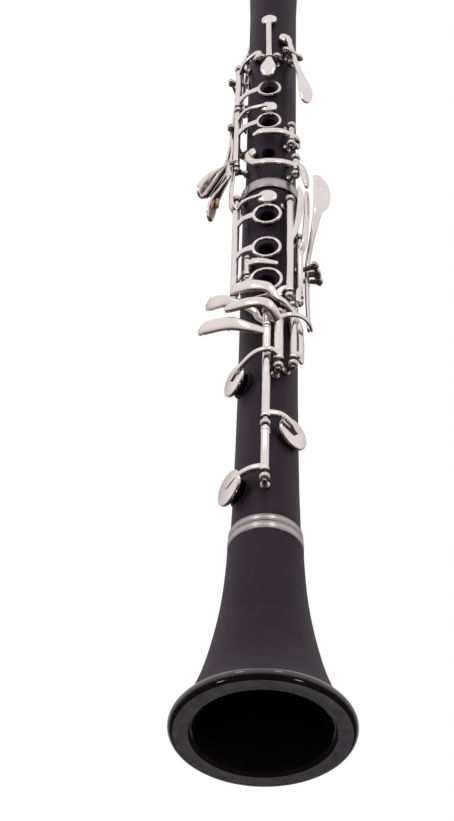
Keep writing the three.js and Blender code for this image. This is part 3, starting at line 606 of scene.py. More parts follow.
# ---- barrel ----
BARREL_LOW = UPPER_TOP + GAP
barrel_side = [
    (15.9 + 0.75 * math.sin(math.pi * (z - 541.3) / 54.3) ** 0.9, z)
    for z in (546, 552, 560, 568, 576, 584, 590)
]
barrel_profile = rounded([
    (11.4, BARREL_LOW), (14.6, BARREL_LOW), (14.6, 541.3), (15.9, 541.3), *barrel_side, (15.7, 595.6),
    (14.4, 595.6), (14.4, BARREL_TOP), (11.4, BARREL_TOP), (11.4, 585), (BORE, 585), (BORE, 552),
    (11.4, 552), (11.4, BARREL_LOW),
], 0.3, 3)
piece(turned(barrel_profile, ROUND), "barrel_body", "barrel_section", BODY, ["barrel"])

# ---- mouthpiece, reed, ligature ----
MOUTH_LOW = BARREL_TOP + GAP
TABLE = 9.6
BEAK_TILT = math.radians(-23)


def mouthpiece():
    """Turned blank, with its table, beak, window and bore cut."""
    profile = rounded([
        (0, 586), (10.0, 586), (10.0, 587.8), (9.6, 587.8), (9.6, 599), (11.0, 599), (11.0, MOUTH_LOW),
        (14.4, MOUTH_LOW), (14.6, 603.5), (13.9, 605.5), (13.9, 634), (12.6, 650), (11.0, TIP), (0, TIP),
    ], 0.4, 3)
    blank = turned(profile, ROUND)
    table = box(40, 20, 70, Matrix.Translation((0, TABLE + 10, 644)))
    beak = box(40, 20, 60, Matrix.Translation((0, -12.6, 664.5)) @ Matrix.Rotation(BEAK_TILT, 4, "X"))
    window = box(11, 12, 30, Matrix.Translation((0, TABLE - 4.6, 651.5)))
    bore = rod(Vector((0, 0, 580)), Vector((0, 0, 640)), BORE, 64)
    return cut(blank, [table, beak, bore, window])


piece(mouthpiece(), "mouthpiece_body", "mouthpiece_section", EBONITE, ["mouthpiece"])


def reed():
    """A cane reed: flat face, rounded bark, and a vamp that thins to the tip."""
    low, shoulder, high = 609.6, 636.0, TIP - 0.4
    rows = [low, low + 1, 622, shoulder - 0.5, shoulder + 0.5, 641, 647, 653, 659, 665, 670, high]
    across, half = 12, 6.0
    verts = []
    faces = []
    for z in rows:
        t = max(0.0, (z - shoulder) / (high - shoulder))
        crown = 2.7 if z < shoulder else 0.3 + 2.2 * (1 - t) ** 1.35
        tip = 1 - 0.5 * max(0.0, (z - 669) / 4) ** 2
        for i in range(across + 1):
            x = (i / across * 2 - 1) * half
            bulge = crown * (1 - 0.34 * (x / half) ** 2)
            verts.append((x * tip, TABLE + GAP + max(0.22, bulge), z))
        for i in range(across + 1):
            verts.append(((i / across * 2 - 1) * half * tip, TABLE + GAP, z))
    width = 2 * (across + 1)
    for k in range(len(rows) - 1):
        a, b = k * width, (k + 1) * width
        for i in range(across):
            faces.append((a + i, a + i + 1, b + i + 1, b + i))
            j = i + across + 1
            faces.append((a + j + 1, a + j, b + j, b + j + 1))
        faces.append((a + across + 1, a, b, b + across + 1))
        faces.append((a + across, a + width - 1, b + width - 1, b + across))
    last = (len(rows) - 1) * width
    for i in range(across):
        j = i + across + 1
        faces.append((i + 1, i, j, j + 1))
        faces.append((last + i, last + i + 1, last + j + 1, last + j))
    return facing_out(mesh_object("reed", verts, faces))


piece(reed(), "reed_cane", "mouthpiece_section", CANE, ["reed"], sharp=40)

LIG_LOW, LIG_HIGH = 611.0, 632.0
SCREWS = [616.2, 626.8]
SCREW_Y = 18.4


def ligature():
    """A plated band with beaded edges, four round windows, and a slit between two lugs at the back."""
    corners = [(14.2, LIG_LOW), (15.1, LIG_LOW), (15.1, LIG_LOW + 1.2), (14.85, LIG_LOW + 1.6)]
    corners += [
        (14.85, LIG_HIGH - 1.6), (15.1, LIG_HIGH - 1.2), (15.1, LIG_HIGH), (14.2, LIG_HIGH),
        (14.2, LIG_LOW),
    ]
    shell = turned(rounded(corners, 0.25, 3), ROUND)
    cuts = [box(2.4, 12, 40, Matrix.Translation((0, 16, 621)))]
    for deg in (-50, 50, -115, 115):
        cuts.append(raised([(0, -4), (2.6, -4), (2.6, 4), (0, 4)], deg, 15, 621.5, 40))
    cut(shell, cuts)
    lugs = [box(2.2, 6.4, 17, Matrix.Translation((x, 17.3, 621.5))) for x in (-3, 3)]
    fuse([shell, *lugs])
    return cut(shell, [rod(Vector((-8, SCREW_Y, z)), Vector((8, SCREW_Y, z)), 1.5) for z in SCREWS])


piece(ligature(), "ligature_shell", "ligature_band", NICKEL, ["ligature"])
for number, (z, body) in enumerate(zip(SCREWS, ("lower_screw", "upper_screw")), 1):
    shank = rod(Vector((-6, SCREW_Y, z)), Vector((10, SCREW_Y, z)), 1.1)
    knob = rounded([(0, 0), (2.9, 0), (2.9, 7.5), (0, 7.5)], 0.9, 5)
    head = turned(knob, 40, aim(Vector((5, SCREW_Y, z)), (1, 0, 0)))
    screw = fuse([shank, head])
    notches = []
    for k in range(12):
        a = math.radians(30 * k)
        place = Vector((0, SCREW_Y + 3.15 * math.cos(a), z + 3.15 * math.sin(a)))
        notches.append(rod(place + Vector((4, 0, 0)), place + Vector((14, 0, 0)), 0.45, 12))
    cut(screw, notches)
    node = f"ligature_screw_{number}"
    piece(screw, node + "_knob", body, NICKEL, [node])


# ---- thumb rest ----
REST_Z = 292


def thumb_rest():
    """A screwed-on plate, hollowed to fit the joint, with the hook that lies on the thumb."""
    plate_bar = bar(
        [(180, 15.6, REST_Z - 12, 8, 1.6), (180, 15.6, REST_Z, 10, 1.6), (180, 15.6, REST_Z + 12, 8, 1.6)],
        True, True,
    )
    hook = arm([
        (180, 15.4, REST_Z - 3, 11, 3.0), (180, 20, REST_Z - 3.1, 11, 2.8),
        (180, 25, REST_Z - 4.2, 12, 2.5), (178, 29, REST_Z - 6, 11, 2.2),
    ])
    body = fuse([plate_bar, hook])
    screw = rounded([(0, 0), (1.9, 0), (1.9, 0.7), (0, 1.1)], 0.3, 3)
    for z in (REST_Z + 8, REST_Z - 9.4):
        combine(body, raised(screw, 180, 16.3, z, 32), "UNION")
        combine(body, box(4, 0.5, 0.5, Matrix.Translation(at(180, 17.3, z))), "DIFFERENCE")
    low, high, wall = REST_Z - 20, REST_Z + 20, LOWER_WALL + GAP
    return cut(body, [turned([(5, low), (wall, low), (wall, high), (5, high), (5, low)], 96)])


piece(thumb_rest(), "thumb_rest_plate", LOWER, NICKEL, ["thumb_rest"])


# ---- keywork ----
def span(h, low, high):
    return at(h.deg, h.r, low), at(h.deg, h.r, high)


def hinge_tube(h, low, high, radius=TUBE):
    """A hinge tube with a slightly stouter collar at each end."""
    length = high - low
    collar = min(1.6, length / 4)
    stout, slim, slope = radius + 0.12, radius - 0.08, 0.25
    corners = [(0, 0), (stout, 0), (stout, collar), (slim, collar + slope)]
    corners += [(slim, length - collar - slope), (stout, length - collar), (stout, length), (0, length)]
    return turned(rounded(corners, 0.15, 2), 32, Matrix.Translation(at(h.deg, h.r, low)))


def hinge_bore(h, radius=TUBE_BORE):
    return rod(*span(h, h.low, h.high), radius, 32)


def ball_post(deg, z, r, ball=2.6):
    """A threaded post: flanged foot, waisted neck and a slightly flattened ball head."""
    wall = wall_at(z) + 0.1
    height = r - wall
    foot = [(0, GAP), (2.3, GAP), (2.3, 0.85), (1.75, 1.15), (1.35, 1.6), (1.2, max(1.9, height * 0.45))]
    flat, steps, neck_deg, sweep_deg = 0.92, 11, -58, 148
    head = []
    for k in range(1, steps + 1):
        a = math.radians(neck_deg + k * sweep_deg / steps)
        head.append((ball * math.cos(a), height + flat * ball * math.sin(a)))
    profile = foot + head + [(0, height + flat * ball)]
    return raised(profile, deg, wall, z, 40)


def screw_end(centre, along, ball):
    """The slotted end of a hinge screw, proud of its post's ball."""
    middle = centre + along * (ball - 0.55)
    profile = rounded([(0, -0.6), (1.15, -0.6), (1.15, 0.75), (0, 0.95)], 0.25, 3)
    head = turned(profile, 28, aim(middle, along))
    slot = box(3, 0.35, 0.7, aim(middle + along * 0.95, along))
    return combine(head, slot, "DIFFERENCE")


def rod_and_posts(h, heights, radius=ROD, ball=2.6):
    """A steel rod in its ball posts, with a slotted screw end below the lowest."""
    posts = [ball_post(h.deg, z, h.r, ball) for z in heights]
    steel = rod(*span(h, heights[0], heights[-1]), radius, 32)
    return fuse([steel, *posts, screw_end(at(h.deg, h.r, heights[0]), -UP, ball)])


def cup(deg, wall, z, radius, lift=0.0):
    """A pad cup: rolled lower edge, a step, and a shallow domed top with a centre point."""
    seat = wall + SEAT + GAP + lift
    edge = radius - 0.4
    corners = [
        (0, 1.2), (edge - 0.45, 1.2), (edge - 0.45, 0.35), (edge, 0.3), (radius, 1.1), (radius - 0.1, 1.75),
    ]
    corners += [(radius - 0.75, 2.2), (radius * 0.55, 2.55), (0, 2.9)]
    return raised(rounded(corners, 0.3, 4), deg, seat, z, 56)


def pad(deg, wall, z, radius, lift=0.0):
    """The pad in a cup, bulging a little round the seat that it closes."""
    seat = wall + SEAT + GAP + lift
    edge = radius - 0.95
    corners = [
        (0, 0.12), (edge * 0.8, 0.08), (edge - 0.1, 0.16), (edge, 0.55), (edge - 0.1, 1.15), (0, 1.15),
    ]
    return raised(rounded(corners, 0.25, 4), deg, seat, z, 56)


def finger_ring(deg, r, z, outer, inner):
    """A plated ring with a dished top and a rounded inner lip."""
    corners = [
        (inner, 0), (outer - 0.1, 0), (outer, 0.65), (outer - 0.35, 1.3), (inner + 0.3, 1.3), (inner, 0.9),
        (inner, 0),
    ]
    return raised(rounded(corners, 0.35, 4), deg, r, z, 72)


def key(name, body_parts, cups=(), rings=(), bores=()):
    """One key: its arms and tubes, with the bores cut, rings and cups, and its pads as other pieces."""
    made = cut(fuse(list(body_parts)), list(bores))
    for ring in rings:
        combine(made, finger_ring(*ring), "UNION")
    for one in cups:
        combine(made, cup(*one), "UNION")
    piece(made, name + "_plate", name, NICKEL, [name])
    for number, one in enumerate(cups, 1):
        piece(pad(*one), f"{name}_pad_{number}", name, PAD)


def metal(obj, node, body):
    """Ties a rod or pin, with its posts, to its CAD node."""
    piece(obj, node + "_post", body, STEEL, [node])


def needle_spring(name, body, start, end):
    """A blued needle spring, thicker at the post that holds it."""
    along = end - start
    thick, thin, length = 0.3, 0.16, along.length
    profile = [(0, 0), (thick, 0), (thick, length * 0.2), (thin, length), (0, length)]
    shaft = turned(profile, 12, aim(start, along))
    piece(shaft, name + "_spring", body, BLUED)


def bumper(name, body, deg, r, z, radius, thick):
    """A cork glued under a key where it meets another or the wall."""
    disc = raised(rounded([(0, 0), (radius, 0), (radius, thick), (0, thick)], 0.2, 3), deg, r, z, 28)
    piece(disc, name + "_bumper", body, BUMPER)


RIGHT_RINGS = Hinge(-57, 19.8, 254, 331)
B_SLIVER = Hinge(-33, 17.8, 265.6, 280.4)
LOW_A = Hinge(3.2, 21.5, 125, 234)
LOW_B = Hinge(18.5, 21.5, 197, 234)
LOW_C = Hinge(40, 21, 202, 242.5)
LEFT_E = Hinge(34, 21.2, 247.8, 321)
LEFT_F_SHARP = Hinge(52, 20.8, 248, 296)
BLADE = 2.6  # thickness of the little-finger touches
RING_TOPS = [(0, 17.0, 310.5, 7.8, 6.0), (0, 17.0, 285, 7.8, 6.0), (0, 17.0, 261, 8.6, 6.8)]

key("right_ring_key", [
    hinge_tube(RIGHT_RINGS, 257.4, 327.6),
    bar([(-57, 19.8, 310, 6, 2), (-38, 19.5, 310.5, 4, 1.4), (-21, 18.9, 310.5, 5, 1.3)]),
    bar([(-57, 19.8, 285.5, 6, 2), (-38, 19.5, 285.6, 4, 1.4), (-21, 18.9, 285.4, 5, 1.3)]),
    bar([(-57, 19.8, 260.5, 6, 2), (-40, 19.5, 260.6, 4, 1.4), (-23, 19.1, 260.8, 5, 1.3)]),
    bar([(-57, 19.8, 322.5, 5, 2), (-36, 20.3, 323, 2.6, 1.6), (-8, 19.7, 323.5, 2.6, 1.8)]),
    arm([
        (-57, 20.4, 321.5, 4, 2.2), (-57, 22.6, 325, 4, 1.7), (-57, 23.2, 334, 4, 1.4),
        (-57, 22.6, 345, 4.4, 1.3), (-57, 22.4, 349.5, 4.4, 1.2),
    ]),
], cups=[(0, LOWER_WALL, 323.5, 5.2, 1.6)], rings=RING_TOPS, bores=[hinge_bore(RIGHT_RINGS)])
metal(rod_and_posts(RIGHT_RINGS, [254, 331]), "right_ring_rod", LOWER)

key("b_sliver_key", [
    hinge_tube(B_SLIVER, 267.8, 278.2, 1.6),
    arm([
        (-33, 17.6, 272, 3, 2), (-28, 18.5, 274.8, 4, 1.6), (-12, 18.4, 274.4, 4.6, 1.7),
        (14, 17.9, 273, 3.4, 1.4),
    ]),
    bar([(-33, 17.4, 274, 3, 1.8), (-57, 16.1, 274, 2.6, 1), (-80, 16.9, 274, 2.6, 1.6)]),
], cups=[(-88, LOWER_WALL, 274, 4.3)], bores=[hinge_bore(B_SLIVER, 1.1)])
metal(rod_and_posts(B_SLIVER, [265.6, 280.4], 0.75, 1.8), "b_sliver_rod", LOWER)

key("low_g_sharp_key", [
    hinge_tube(LOW_C, 205.6, 239.4),
    touch_bar([
        (-39, 24.8, 252.6, 5.2, 2.4), (-33, 25, 251.9, 7, BLADE), (-16, 25.4, 249.6, 7.4, BLADE),
        (1, 25.4, 247.2, 6.6, BLADE), (9, 25, 243.8, 5, BLADE), (14, 24.7, 240.6, 4, 2.2),
        (24, 24, 238.8, 3.6, 2), (40, 21.4, 237, 4, 2),
    ]),
    bar([(40, 21, 233.6, 4, 2.2), (50, 19.8, 235, 3.2, 1.6), (62, 18.3, 236.6, 3, 1.6)]),
    arm([(56, 19.4, 234.4, 4, 1.6), (57.5, 20, 222, 4.4, 1.6), (57, 20, 209, 4.2, 1.6)]),
    bar([(40, 21, 210.6, 4, 2), (49, 20.7, 210.4, 3.6, 1.6), (57, 20, 210.4, 3.4, 1.5)]),
], cups=[(63, LOWER_WALL, 236.6, 5.5)], bores=[hinge_bore(LOW_C)])
key("low_f_key", [
    hinge_tube(LOW_B, 200.6, 230.2, 2.5),
    touch_bar([
        (-39, 28.1, 236.7, 4.6, BLADE), (-32, 27.5, 236.5, 6.4, BLADE), (-16, 26.6, 236.2, 6.8, BLADE),
        (0, 26.4, 234.8, 6.2, BLADE), (8, 25.9, 231.6, 5.4, BLADE), (14, 24, 228, 4.8, BLADE),
        (18.5, 21.8, 224.6, 4.4, 2.2),
    ]),
    arm([
        (18.5, 22.4, 228.6, 4, 2), (30, 24.6, 230.6, 3, 1.5), (44, 25.2, 232.4, 3, 1.4),
        (58, 24.5, 233, 3, 1.4), (69, 23.3, 233.2, 3, 1.4),
    ]),
    arm([
        (18.5, 22, 203.5, 5, 2.6), (10, 25, 203.6, 3.4, 2), (2, 25.6, 203.4, 3.4, 2),
        (-12, 24, 202.6, 3.4, 2), (-34, 21.6, 199.4, 3.2, 2), (-50, 20.6, 197, 3, 2),
    ]),
], cups=[(-52, LOWER_WALL, 196.7, 8.3, PAD_LIFT)], bores=[hinge_bore(LOW_B)])
key("low_f_sharp_key", [
    hinge_tube(LOW_A, 162.4, 222.6, 2.1),
    touch_bar([
        (-73.5, 33.6, 234.6, 4.4, BLADE), (-67, 32.1, 233.7, 7, BLADE), (-41, 26.7, 228, 7.4, BLADE),
        (-18, 23.8, 222, 5.6, 2.4), (3.2, 22.2, 218.4, 4.4, 2),
    ]),
    arm([
        (3.2, 21.6, 165.4, 4.6, 2.2), (22, 21.2, 165.6, 3.6, 1.9), (38, 20, 164, 3.6, 1.9),
        (50, 18.9, 161.6, 3.6, 1.9),
    ]),
], cups=[(51, 14.8, 161.4, 8.8)], bores=[hinge_bore(LOW_A, 1.7)])
key("low_e_key", [
    hinge_tube(LOW_A, 129, 155.4, 2.1),
    rod(*span(LOW_A, 150, 228), 1.38, 32),
    hinge_tube(LOW_A, 223.2, 230.4, 2.1),
    touch_bar([
        (-78.5, 30.3, 256, 4.6, BLADE), (-72, 29.3, 254.5, 7, BLADE), (-54, 26.2, 249.2, 6.8, BLADE),
        (-42, 23.8, 245.2, 5.4, 2.4), (-28, 21.6, 242.2, 5, 2), (-14, 20, 236, 3.6, 1.7),
        (-9, 19.8, 231.6, 3.4, 1.6), (2, 20.8, 227, 3.6, 1.8),
    ]),
    arm([
        (-30, 21.8, 242.6, 5, 1.8), (-12, 20.9, 243.6, 4.6, 1.7), (6, 21, 245.4, 3.8, 1.5),
        (19, 21.3, 246.8, 3, 1.2),
    ]),
    arm([
        (3.2, 21.8, 131.4, 4.6, 2.4), (-14, 21.8, 131.2, 3.6, 2), (-34, 21.4, 129.8, 3.4, 2),
        (-50, 21, 128, 3.2, 2),
    ]),
], cups=[(-52, 15.4, 127.9, 9.1, PAD_LIFT)], bores=[hinge_bore(LOW_A, 0.98)])
metal(rod_and_posts(LOW_A, [125.4, 234], 0.65), "low_keys_rod", LOWER)
middle_post = ball_post(LOW_A.deg, 158.8, LOW_A.r)
metal(cut(middle_post, [rod(*span(LOW_A, 150, 170), 1.7, 32)]), "low_keys_middle_post", LOWER)
metal(rod_and_posts(LOW_B, [197, 233.8]), "low_f_rod", LOWER)
metal(rod_and_posts(LOW_C, [202, 242.5]), "low_g_sharp_rod", LOWER)

key("left_e_lever", [
    hinge_tube(LEFT_E, 251, 317.8),
    arm([
        (34, 21.2, 254, 4, 2), (26, 20.2, 253, 3, 1.5), (20, 19.6, 250.6, 3, 1.4),
        (18, 19.3, 247.6, 3, 1.3),
    ]),
    arm([
        (35, 21.4, 290, 3, 2), (40, 22.6, 297, 3, 2), (43, 24, 308, 3.4, 1.9), (44.2, 24.8, 318, 4.2, 1.8),
        (43.6, 24.8, 325, 3.2, 1.6), (42, 24.5, 329.2, 1.4, 1.3),
    ]),
], bores=[hinge_bore(LEFT_E)])
metal(rod_and_posts(LEFT_E, [247.8, 321]), "left_e_rod", LOWER)
key("left_f_sharp_lever", [
    hinge_tube(LEFT_F_SHARP, 251, 292.6),
    arm([(52, 21.4, 255, 4, 2), (46, 24, 253.6, 3, 1.6), (41, 25, 249, 3, 1.4), (40.5, 25, 242.6, 3, 1.4)]),
    arm([
        (52, 21, 284, 4, 2.2), (52.4, 23.6, 290, 3.8, 2), (53.2, 24.2, 298, 3.8, 1.7),
        (54.6, 24.4, 309, 3.8, 1.7), (55.6, 24.5, 319, 3.9, 1.6), (56, 24.4, 327, 3.4, 1.5),
        (56.6, 24.2, 330.4, 1.4, 1.2),
    ]),
], bores=[hinge_bore(LEFT_F_SHARP)])
metal(rod_and_posts(LEFT_F_SHARP, [248, 295.8], ROD, 2.2), "left_f_sharp_rod", LOWER)


# ---- see-saw keys, each on a pin across the bore ----
def pin_line(pin, low, high):
    """The points low and high along a pin from its middle."""
    along = at(pin.deg + 90, 1, 0)
    middle = at(pin.deg, pin.r, pin.z)
    return middle + along * low, middle + along * high


def place_of(point):
    return math.degrees(math.atan2(point.x, -point.y)), math.hypot(point.x, point.y), point.z


def pin_and_posts(pin, half):
    ends = pin_line(pin, -half, half)
    parts = [rod(*ends, 0.75)]
    for end, sign in zip(ends, (-1, 1)):
        deg, r, z = place_of(end)
        parts.append(ball_post(deg, z, r, 2.2))
        parts.append(screw_end(end, at(pin.deg + 90, sign, 0), 2.2))
    return fuse(parts)


def see_saw(pin, low, high, stops):
    """A lever with a rounded touch, on a short tube round its pin."""
    return fuse([touch_bar(stops), rod(*pin_line(pin, low, high), 2.0, 32, 0.3)])


def pin_bore(pin):
    return rod(*pin_line(pin, -12, 12), 1.1, 32)


F_PIN = Pin(83, 24.6, 279)
key("left_f_lever", [
    bar([
        (63, 29, 341, 5.4, 1.5, 32), (65.6, 29.8, 338, 8.6, 1.8, 32), (67, 30.1, 332.6, 10.2, 1.9, 32),
        (66.6, 29.9, 324.6, 9.6, 1.9, 32), (64, 28.6, 316.6, 5.6, 1.9, 28), (66, 26.4, 308, 4.2, 2, 16),
        (70, 23.6, 299, 3.8, 2), (78, 20.6, 289, 3.6, 2.2), (81, 19.6, 279, 3.6, 2.4),
        (76, 20.2, 258, 3.8, 2), (71, 21.4, 240, 3.2, 1.5), (70, 21.6, 234, 3.2, 1.2),
    ], True, True),
    rod(at(81, 19.6, 279), at(83, 24.6, 279), 1.8),
    rod(*pin_line(F_PIN, -2.4, 2.4), 2.0, 32, 0.3),
], bores=[pin_bore(F_PIN)])
metal(pin_and_posts(F_PIN, 5.4), "left_f_pin", LOWER)

FIRST = Hinge(-66, 19.5, 409.5, 447)
THUMB = Hinge(-140, 17.4, 421.4, 433.6)
SECOND = Hinge(-66, 19.5, 358, 409.5)
C_SHARP = Hinge(48, 19.2, 346.4, 360)
E_FLAT = Hinge(42, 17.8, 371.6, 386.8)

key("first_ring_key", [
    hinge_tube(FIRST, 412.8, 443.6),
    bar([(-66, 19.5, 417, 6, 2), (-44, 18.4, 417, 4, 1.4), (-19, 17.4, 417, 4.4, 1.2)]),
    arm([
        (-66, 19.6, 440.6, 4, 2), (-50, 19.6, 445, 3, 1.6), (-36, 18.4, 448.4, 3, 1.6),
        (-30, 18, 449.4, 3, 1.4),
    ]),
], cups=[(-29, UPPER_WALL, 449.5, 4.1, 1.3)], rings=[(0, 15.7, 417, 6.6, 5.0)], bores=[hinge_bore(FIRST)])
key(
    "thumb_ring_key",
    [
        hinge_tube(THUMB, 423.6, 431.4, 1.6),
        bar([(-140, 17.7, 428.6, 4, 1.8), (-150, 17.8, 429.4, 4, 1.4), (-158.5, 17.6, 430, 4.4, 1.2)]),
        arm([(-140, 17.7, 427, 3, 1.8), (-151, 18.5, 424, 2.8, 1.4), (-157, 17.9, 417.4, 2.8, 1.4)]),
    ],
    cups=[(-158, UPPER_WALL, 417, 3.3, 0.9)],
    rings=[(180, 15.7, 430, 6.8, 5.6)],
    bores=[hinge_bore(THUMB, 1.1)],
)
metal(rod_and_posts(THUMB, [421.4, 433.6], 0.75, 1.8), "thumb_ring_rod", UPPER)
key("second_ring_key", [
    hinge_tube(SECOND, 361.4, 406.2),
    bar([(-66, 19.5, 388.5, 6, 2), (-44, 18.4, 388.5, 4, 1.4), (-19, 17.4, 388.5, 4.4, 1.2)]),
    bar([
        (-66, 19.7, 400.6, 5, 2), (-40, 19.4, 400.6, 2.8, 1.6), (-14, 18.1, 400.2, 2.8, 1.5),
        (-2, 17.6, 400.2, 2.8, 1.5),
    ]),
    arm([
        (-65, 20.2, 365, 4, 2.2), (-64, 23.4, 361.6, 4, 1.6), (-61, 24.8, 356, 4.4, 1.4),
        (-58, 24.5, 348, 4.4, 1.2),
    ]),
], cups=[(0, UPPER_WALL, 400.2, 4.5, 1.3)], rings=[(0, 15.7, 388.5, 6.9, 5.4)], bores=[hinge_bore(SECOND)])
metal(rod_and_posts(SECOND, [358, 409.5, 447]), "upper_rings_rod", UPPER)
key("c_sharp_key", [
    hinge_tube(C_SHARP, 349.6, 356.8),
    bar([
        (48, 19.4, 353.6, 4, 2), (24, 19.2, 351.4, 4.4, 2.2), (0, 19, 351, 4.6, 2.2),
        (-22, 18.8, 353, 4, 2), (-36, 18.1, 359.6, 3.4, 1.7), (-42, 17.3, 366, 3, 1.5),
    ]),
    arm([
        (48, 19.8, 353.6, 4, 2), (52, 22, 351.6, 5, 1.8), (53.6, 23.4, 345, 6, 1.8),
        (54.4, 24.2, 338, 5, 1.7), (54.8, 24.4, 334.8, 3, 1.4),
    ]),
], cups=[(-42, UPPER_WALL, 366.4, 4.5)], bores=[hinge_bore(C_SHARP)])
metal(rod_and_posts(C_SHARP, [346.4, 360]), "c_sharp_rod", UPPER)
key("e_flat_sliver_key", [
    hinge_tube(E_FLAT, 374.8, 383.6, 1.6),
    touch_bar([
        (-25, 17.3, 378.8, 3.2, 1.4), (-12, 17.9, 378.2, 4.6, 2), (20, 18.3, 377.8, 4.6, 2),
        (42, 18.3, 378.2, 4, 1.9), (56, 17.9, 380, 3, 1.5), (66, 17, 381, 3, 1.5),
    ]),
], cups=[(66, UPPER_WALL, 381, 4.1)], bores=[hinge_bore(E_FLAT, 1.1)])
metal(rod_and_posts(E_FLAT, [371.6, 386.8], 0.75), "e_flat_sliver_rod", UPPER)

A_PIN = Pin(0, 19.4, 441.5)
G_SHARP_PIN = Pin(41, 19.4, 449)
REGISTER_PIN = Pin(180, 19.2, 485)
# (key, its pin, its cup, stops from the touch to the cup)
UPPER_SEE_SAWS = [
    ("a_key", A_PIN, (-3, UPPER_WALL, 482, 4.4), [
        (-1, 21.3, 425.2, 7, 1.8), (-1, 21.5, 427.4, 8.4, 2), (-0.5, 21.3, 431, 8, 2),
        (0, 20.5, 437, 4.6, 2), (0, 19.4, 441.5, 3.4, 2.4), (-1, 18.8, 455, 3, 1.9),
        (-2, 18.2, 470, 3, 1.8), (-3, 17.4, 482, 3, 1.6),
    ]),
    ("g_sharp_key", G_SHARP_PIN, (34, UPPER_WALL, 466, 4.2), [
        (51.5, 25.2, 406.4, 6, 1.5, -14), (51.4, 25.4, 409, 7.8, 1.7, -14), (51, 25.4, 414, 9, 1.8, -14),
        (49, 24.2, 423, 6.8, 1.8, -8), (45.5, 22, 434, 4, 2), (41, 19.4, 449, 3.4, 2.4),
        (37, 18.4, 459, 3, 1.8), (34, 17.4, 466, 3, 1.6),
    ]),
    ("register_key", REGISTER_PIN, (180, UPPER_WALL, 519, 4.2), [
        (180, 22.7, 443.4, 6, 1.3), (180, 22.8, 446.6, 8, 1.5), (180, 21.6, 456, 5, 1.7),
        (180, 19.8, 470, 3, 1.9), (180, 19.2, 485, 3.4, 2.4), (180, 18.6, 503, 3, 1.8),
        (180, 17.4, 519, 3, 1.6),
    ]),
]
for name, pin, cup_place, stops in UPPER_SEE_SAWS:
    key(name, [see_saw(pin, -1.8, 1.8, stops)], cups=[cup_place], bores=[pin_bore(pin)])
    metal(pin_and_posts(pin, 4.2), name.replace("_key", "_pin"), UPPER)

SIDE_LOW = Pin(-102.5, 20, 398)
SIDE_HIGH = Pin(-102.5, 20.4, 438)
# (pin, lane degrees, pad degrees, pad height, stops of the touch and lever as far as the pin)
SIDE_KEYS = [
    (SIDE_LOW, -86, -84, 416, [
        (-82, 31.6, 326.4, 5.6, 1.7, -34), (-81.6, 31.3, 329.6, 7.4, 1.9, -34),
        (-80.5, 29.6, 338, 6.8, 2, -34), (-81, 26, 348, 4.6, 2, -16), (-84, 22.6, 360, 3.2, 2),
        (-86, 21, 380, 3, 2),
    ]),
    (SIDE_LOW, -97, -101, 423, [
        (-86.1, 36.6, 348.6, 7, 1.7, -40), (-86.4, 35.6, 351, 9.6, 1.9, -40),
        (-87.2, 31.4, 360, 8.4, 2, -36), (-92, 25.2, 371, 4.2, 1.9, -14), (-98, 21.5, 384, 2.8, 1.7),
    ]),
    (SIDE_HIGH, -108, -104, 470, [
        (-98.2, 36.5, 357.6, 7, 1.7, -40), (-98.6, 35.5, 360, 9.2, 1.9, -40),
        (-99.4, 31.6, 368, 8.8, 2, -36), (-105.4, 26.7, 379, 4, 1.7, -12), (-109, 24.6, 398, 3, 2),
        (-108, 22.6, 424, 3, 2),
    ]),
    (SIDE_HIGH, -119, -122, 484, [
        (-109.2, 35.9, 366.6, 7, 1.7, -40), (-110, 34.9, 369, 9.2, 1.9, -40),
        (-111.6, 31.8, 376, 8.6, 2, -34), (-117, 27.6, 386, 3.6, 1.8, -10), (-120, 25.8, 400, 3, 2),
        (-119, 23, 424, 3, 2),
    ]),
]
for number, (pin, deg, pad_deg, pad_z, stops) in enumerate(SIDE_KEYS, 1):
    off = math.radians(deg - pin.deg)
    r = pin.r / math.cos(off)
    along = pin.r * math.tan(off)
    middle_z = (pin.z + pad_z) / 2 + 2
    tail = [(deg, r, pin.z, 3, 2.4), (pad_deg, 18.6, middle_z, 2.8, 1.8), (pad_deg, 17.4, pad_z, 2.8, 1.6)]
    lever = see_saw(pin, along - 1.5, along + 1.5, [*stops, *tail])
    key(f"side_key_{number}", [lever], cups=[(pad_deg, UPPER_WALL, pad_z, 3.5)], bores=[pin_bore(pin)])
metal(pin_and_posts(SIDE_LOW, 10), "side_low_pin", UPPER)
metal(pin_and_posts(SIDE_HIGH, 10.2), "side_high_pin", UPPER)

# ---- springs and corks ----
# (name, body, hinge, height where it is held, height of its free end)
SPRINGS = [
    ("low_f", LOWER, LOW_B, 198.6, 212), ("low_e", LOWER, LOW_A, 127.4, 142),
    ("low_g_sharp", LOWER, LOW_C, 204, 218), ("left_e", LOWER, LEFT_E, 250, 268),
    ("left_f_sharp", LOWER, LEFT_F_SHARP, 250, 266), ("right_ring", LOWER, RIGHT_RINGS, 329, 314),
    ("first_ring", UPPER, FIRST, 445, 429), ("second_ring", UPPER, SECOND, 407, 392),
]
for name, body, h, held, free in SPRINGS:
    below = h.r - TUBE - 0.65
    start, end = at(h.deg, below, held), at(h.deg + 1, below, free)
    needle_spring(name, body, start, end)
bumper("low_f_sharp_touch", "low_f_sharp_key", -44, 24.2, 228.8, 2.6, 1.6)
bumper("side_key_1_touch", "side_key_1", -79.6, 27.2, 336, 2.6, 1.6)

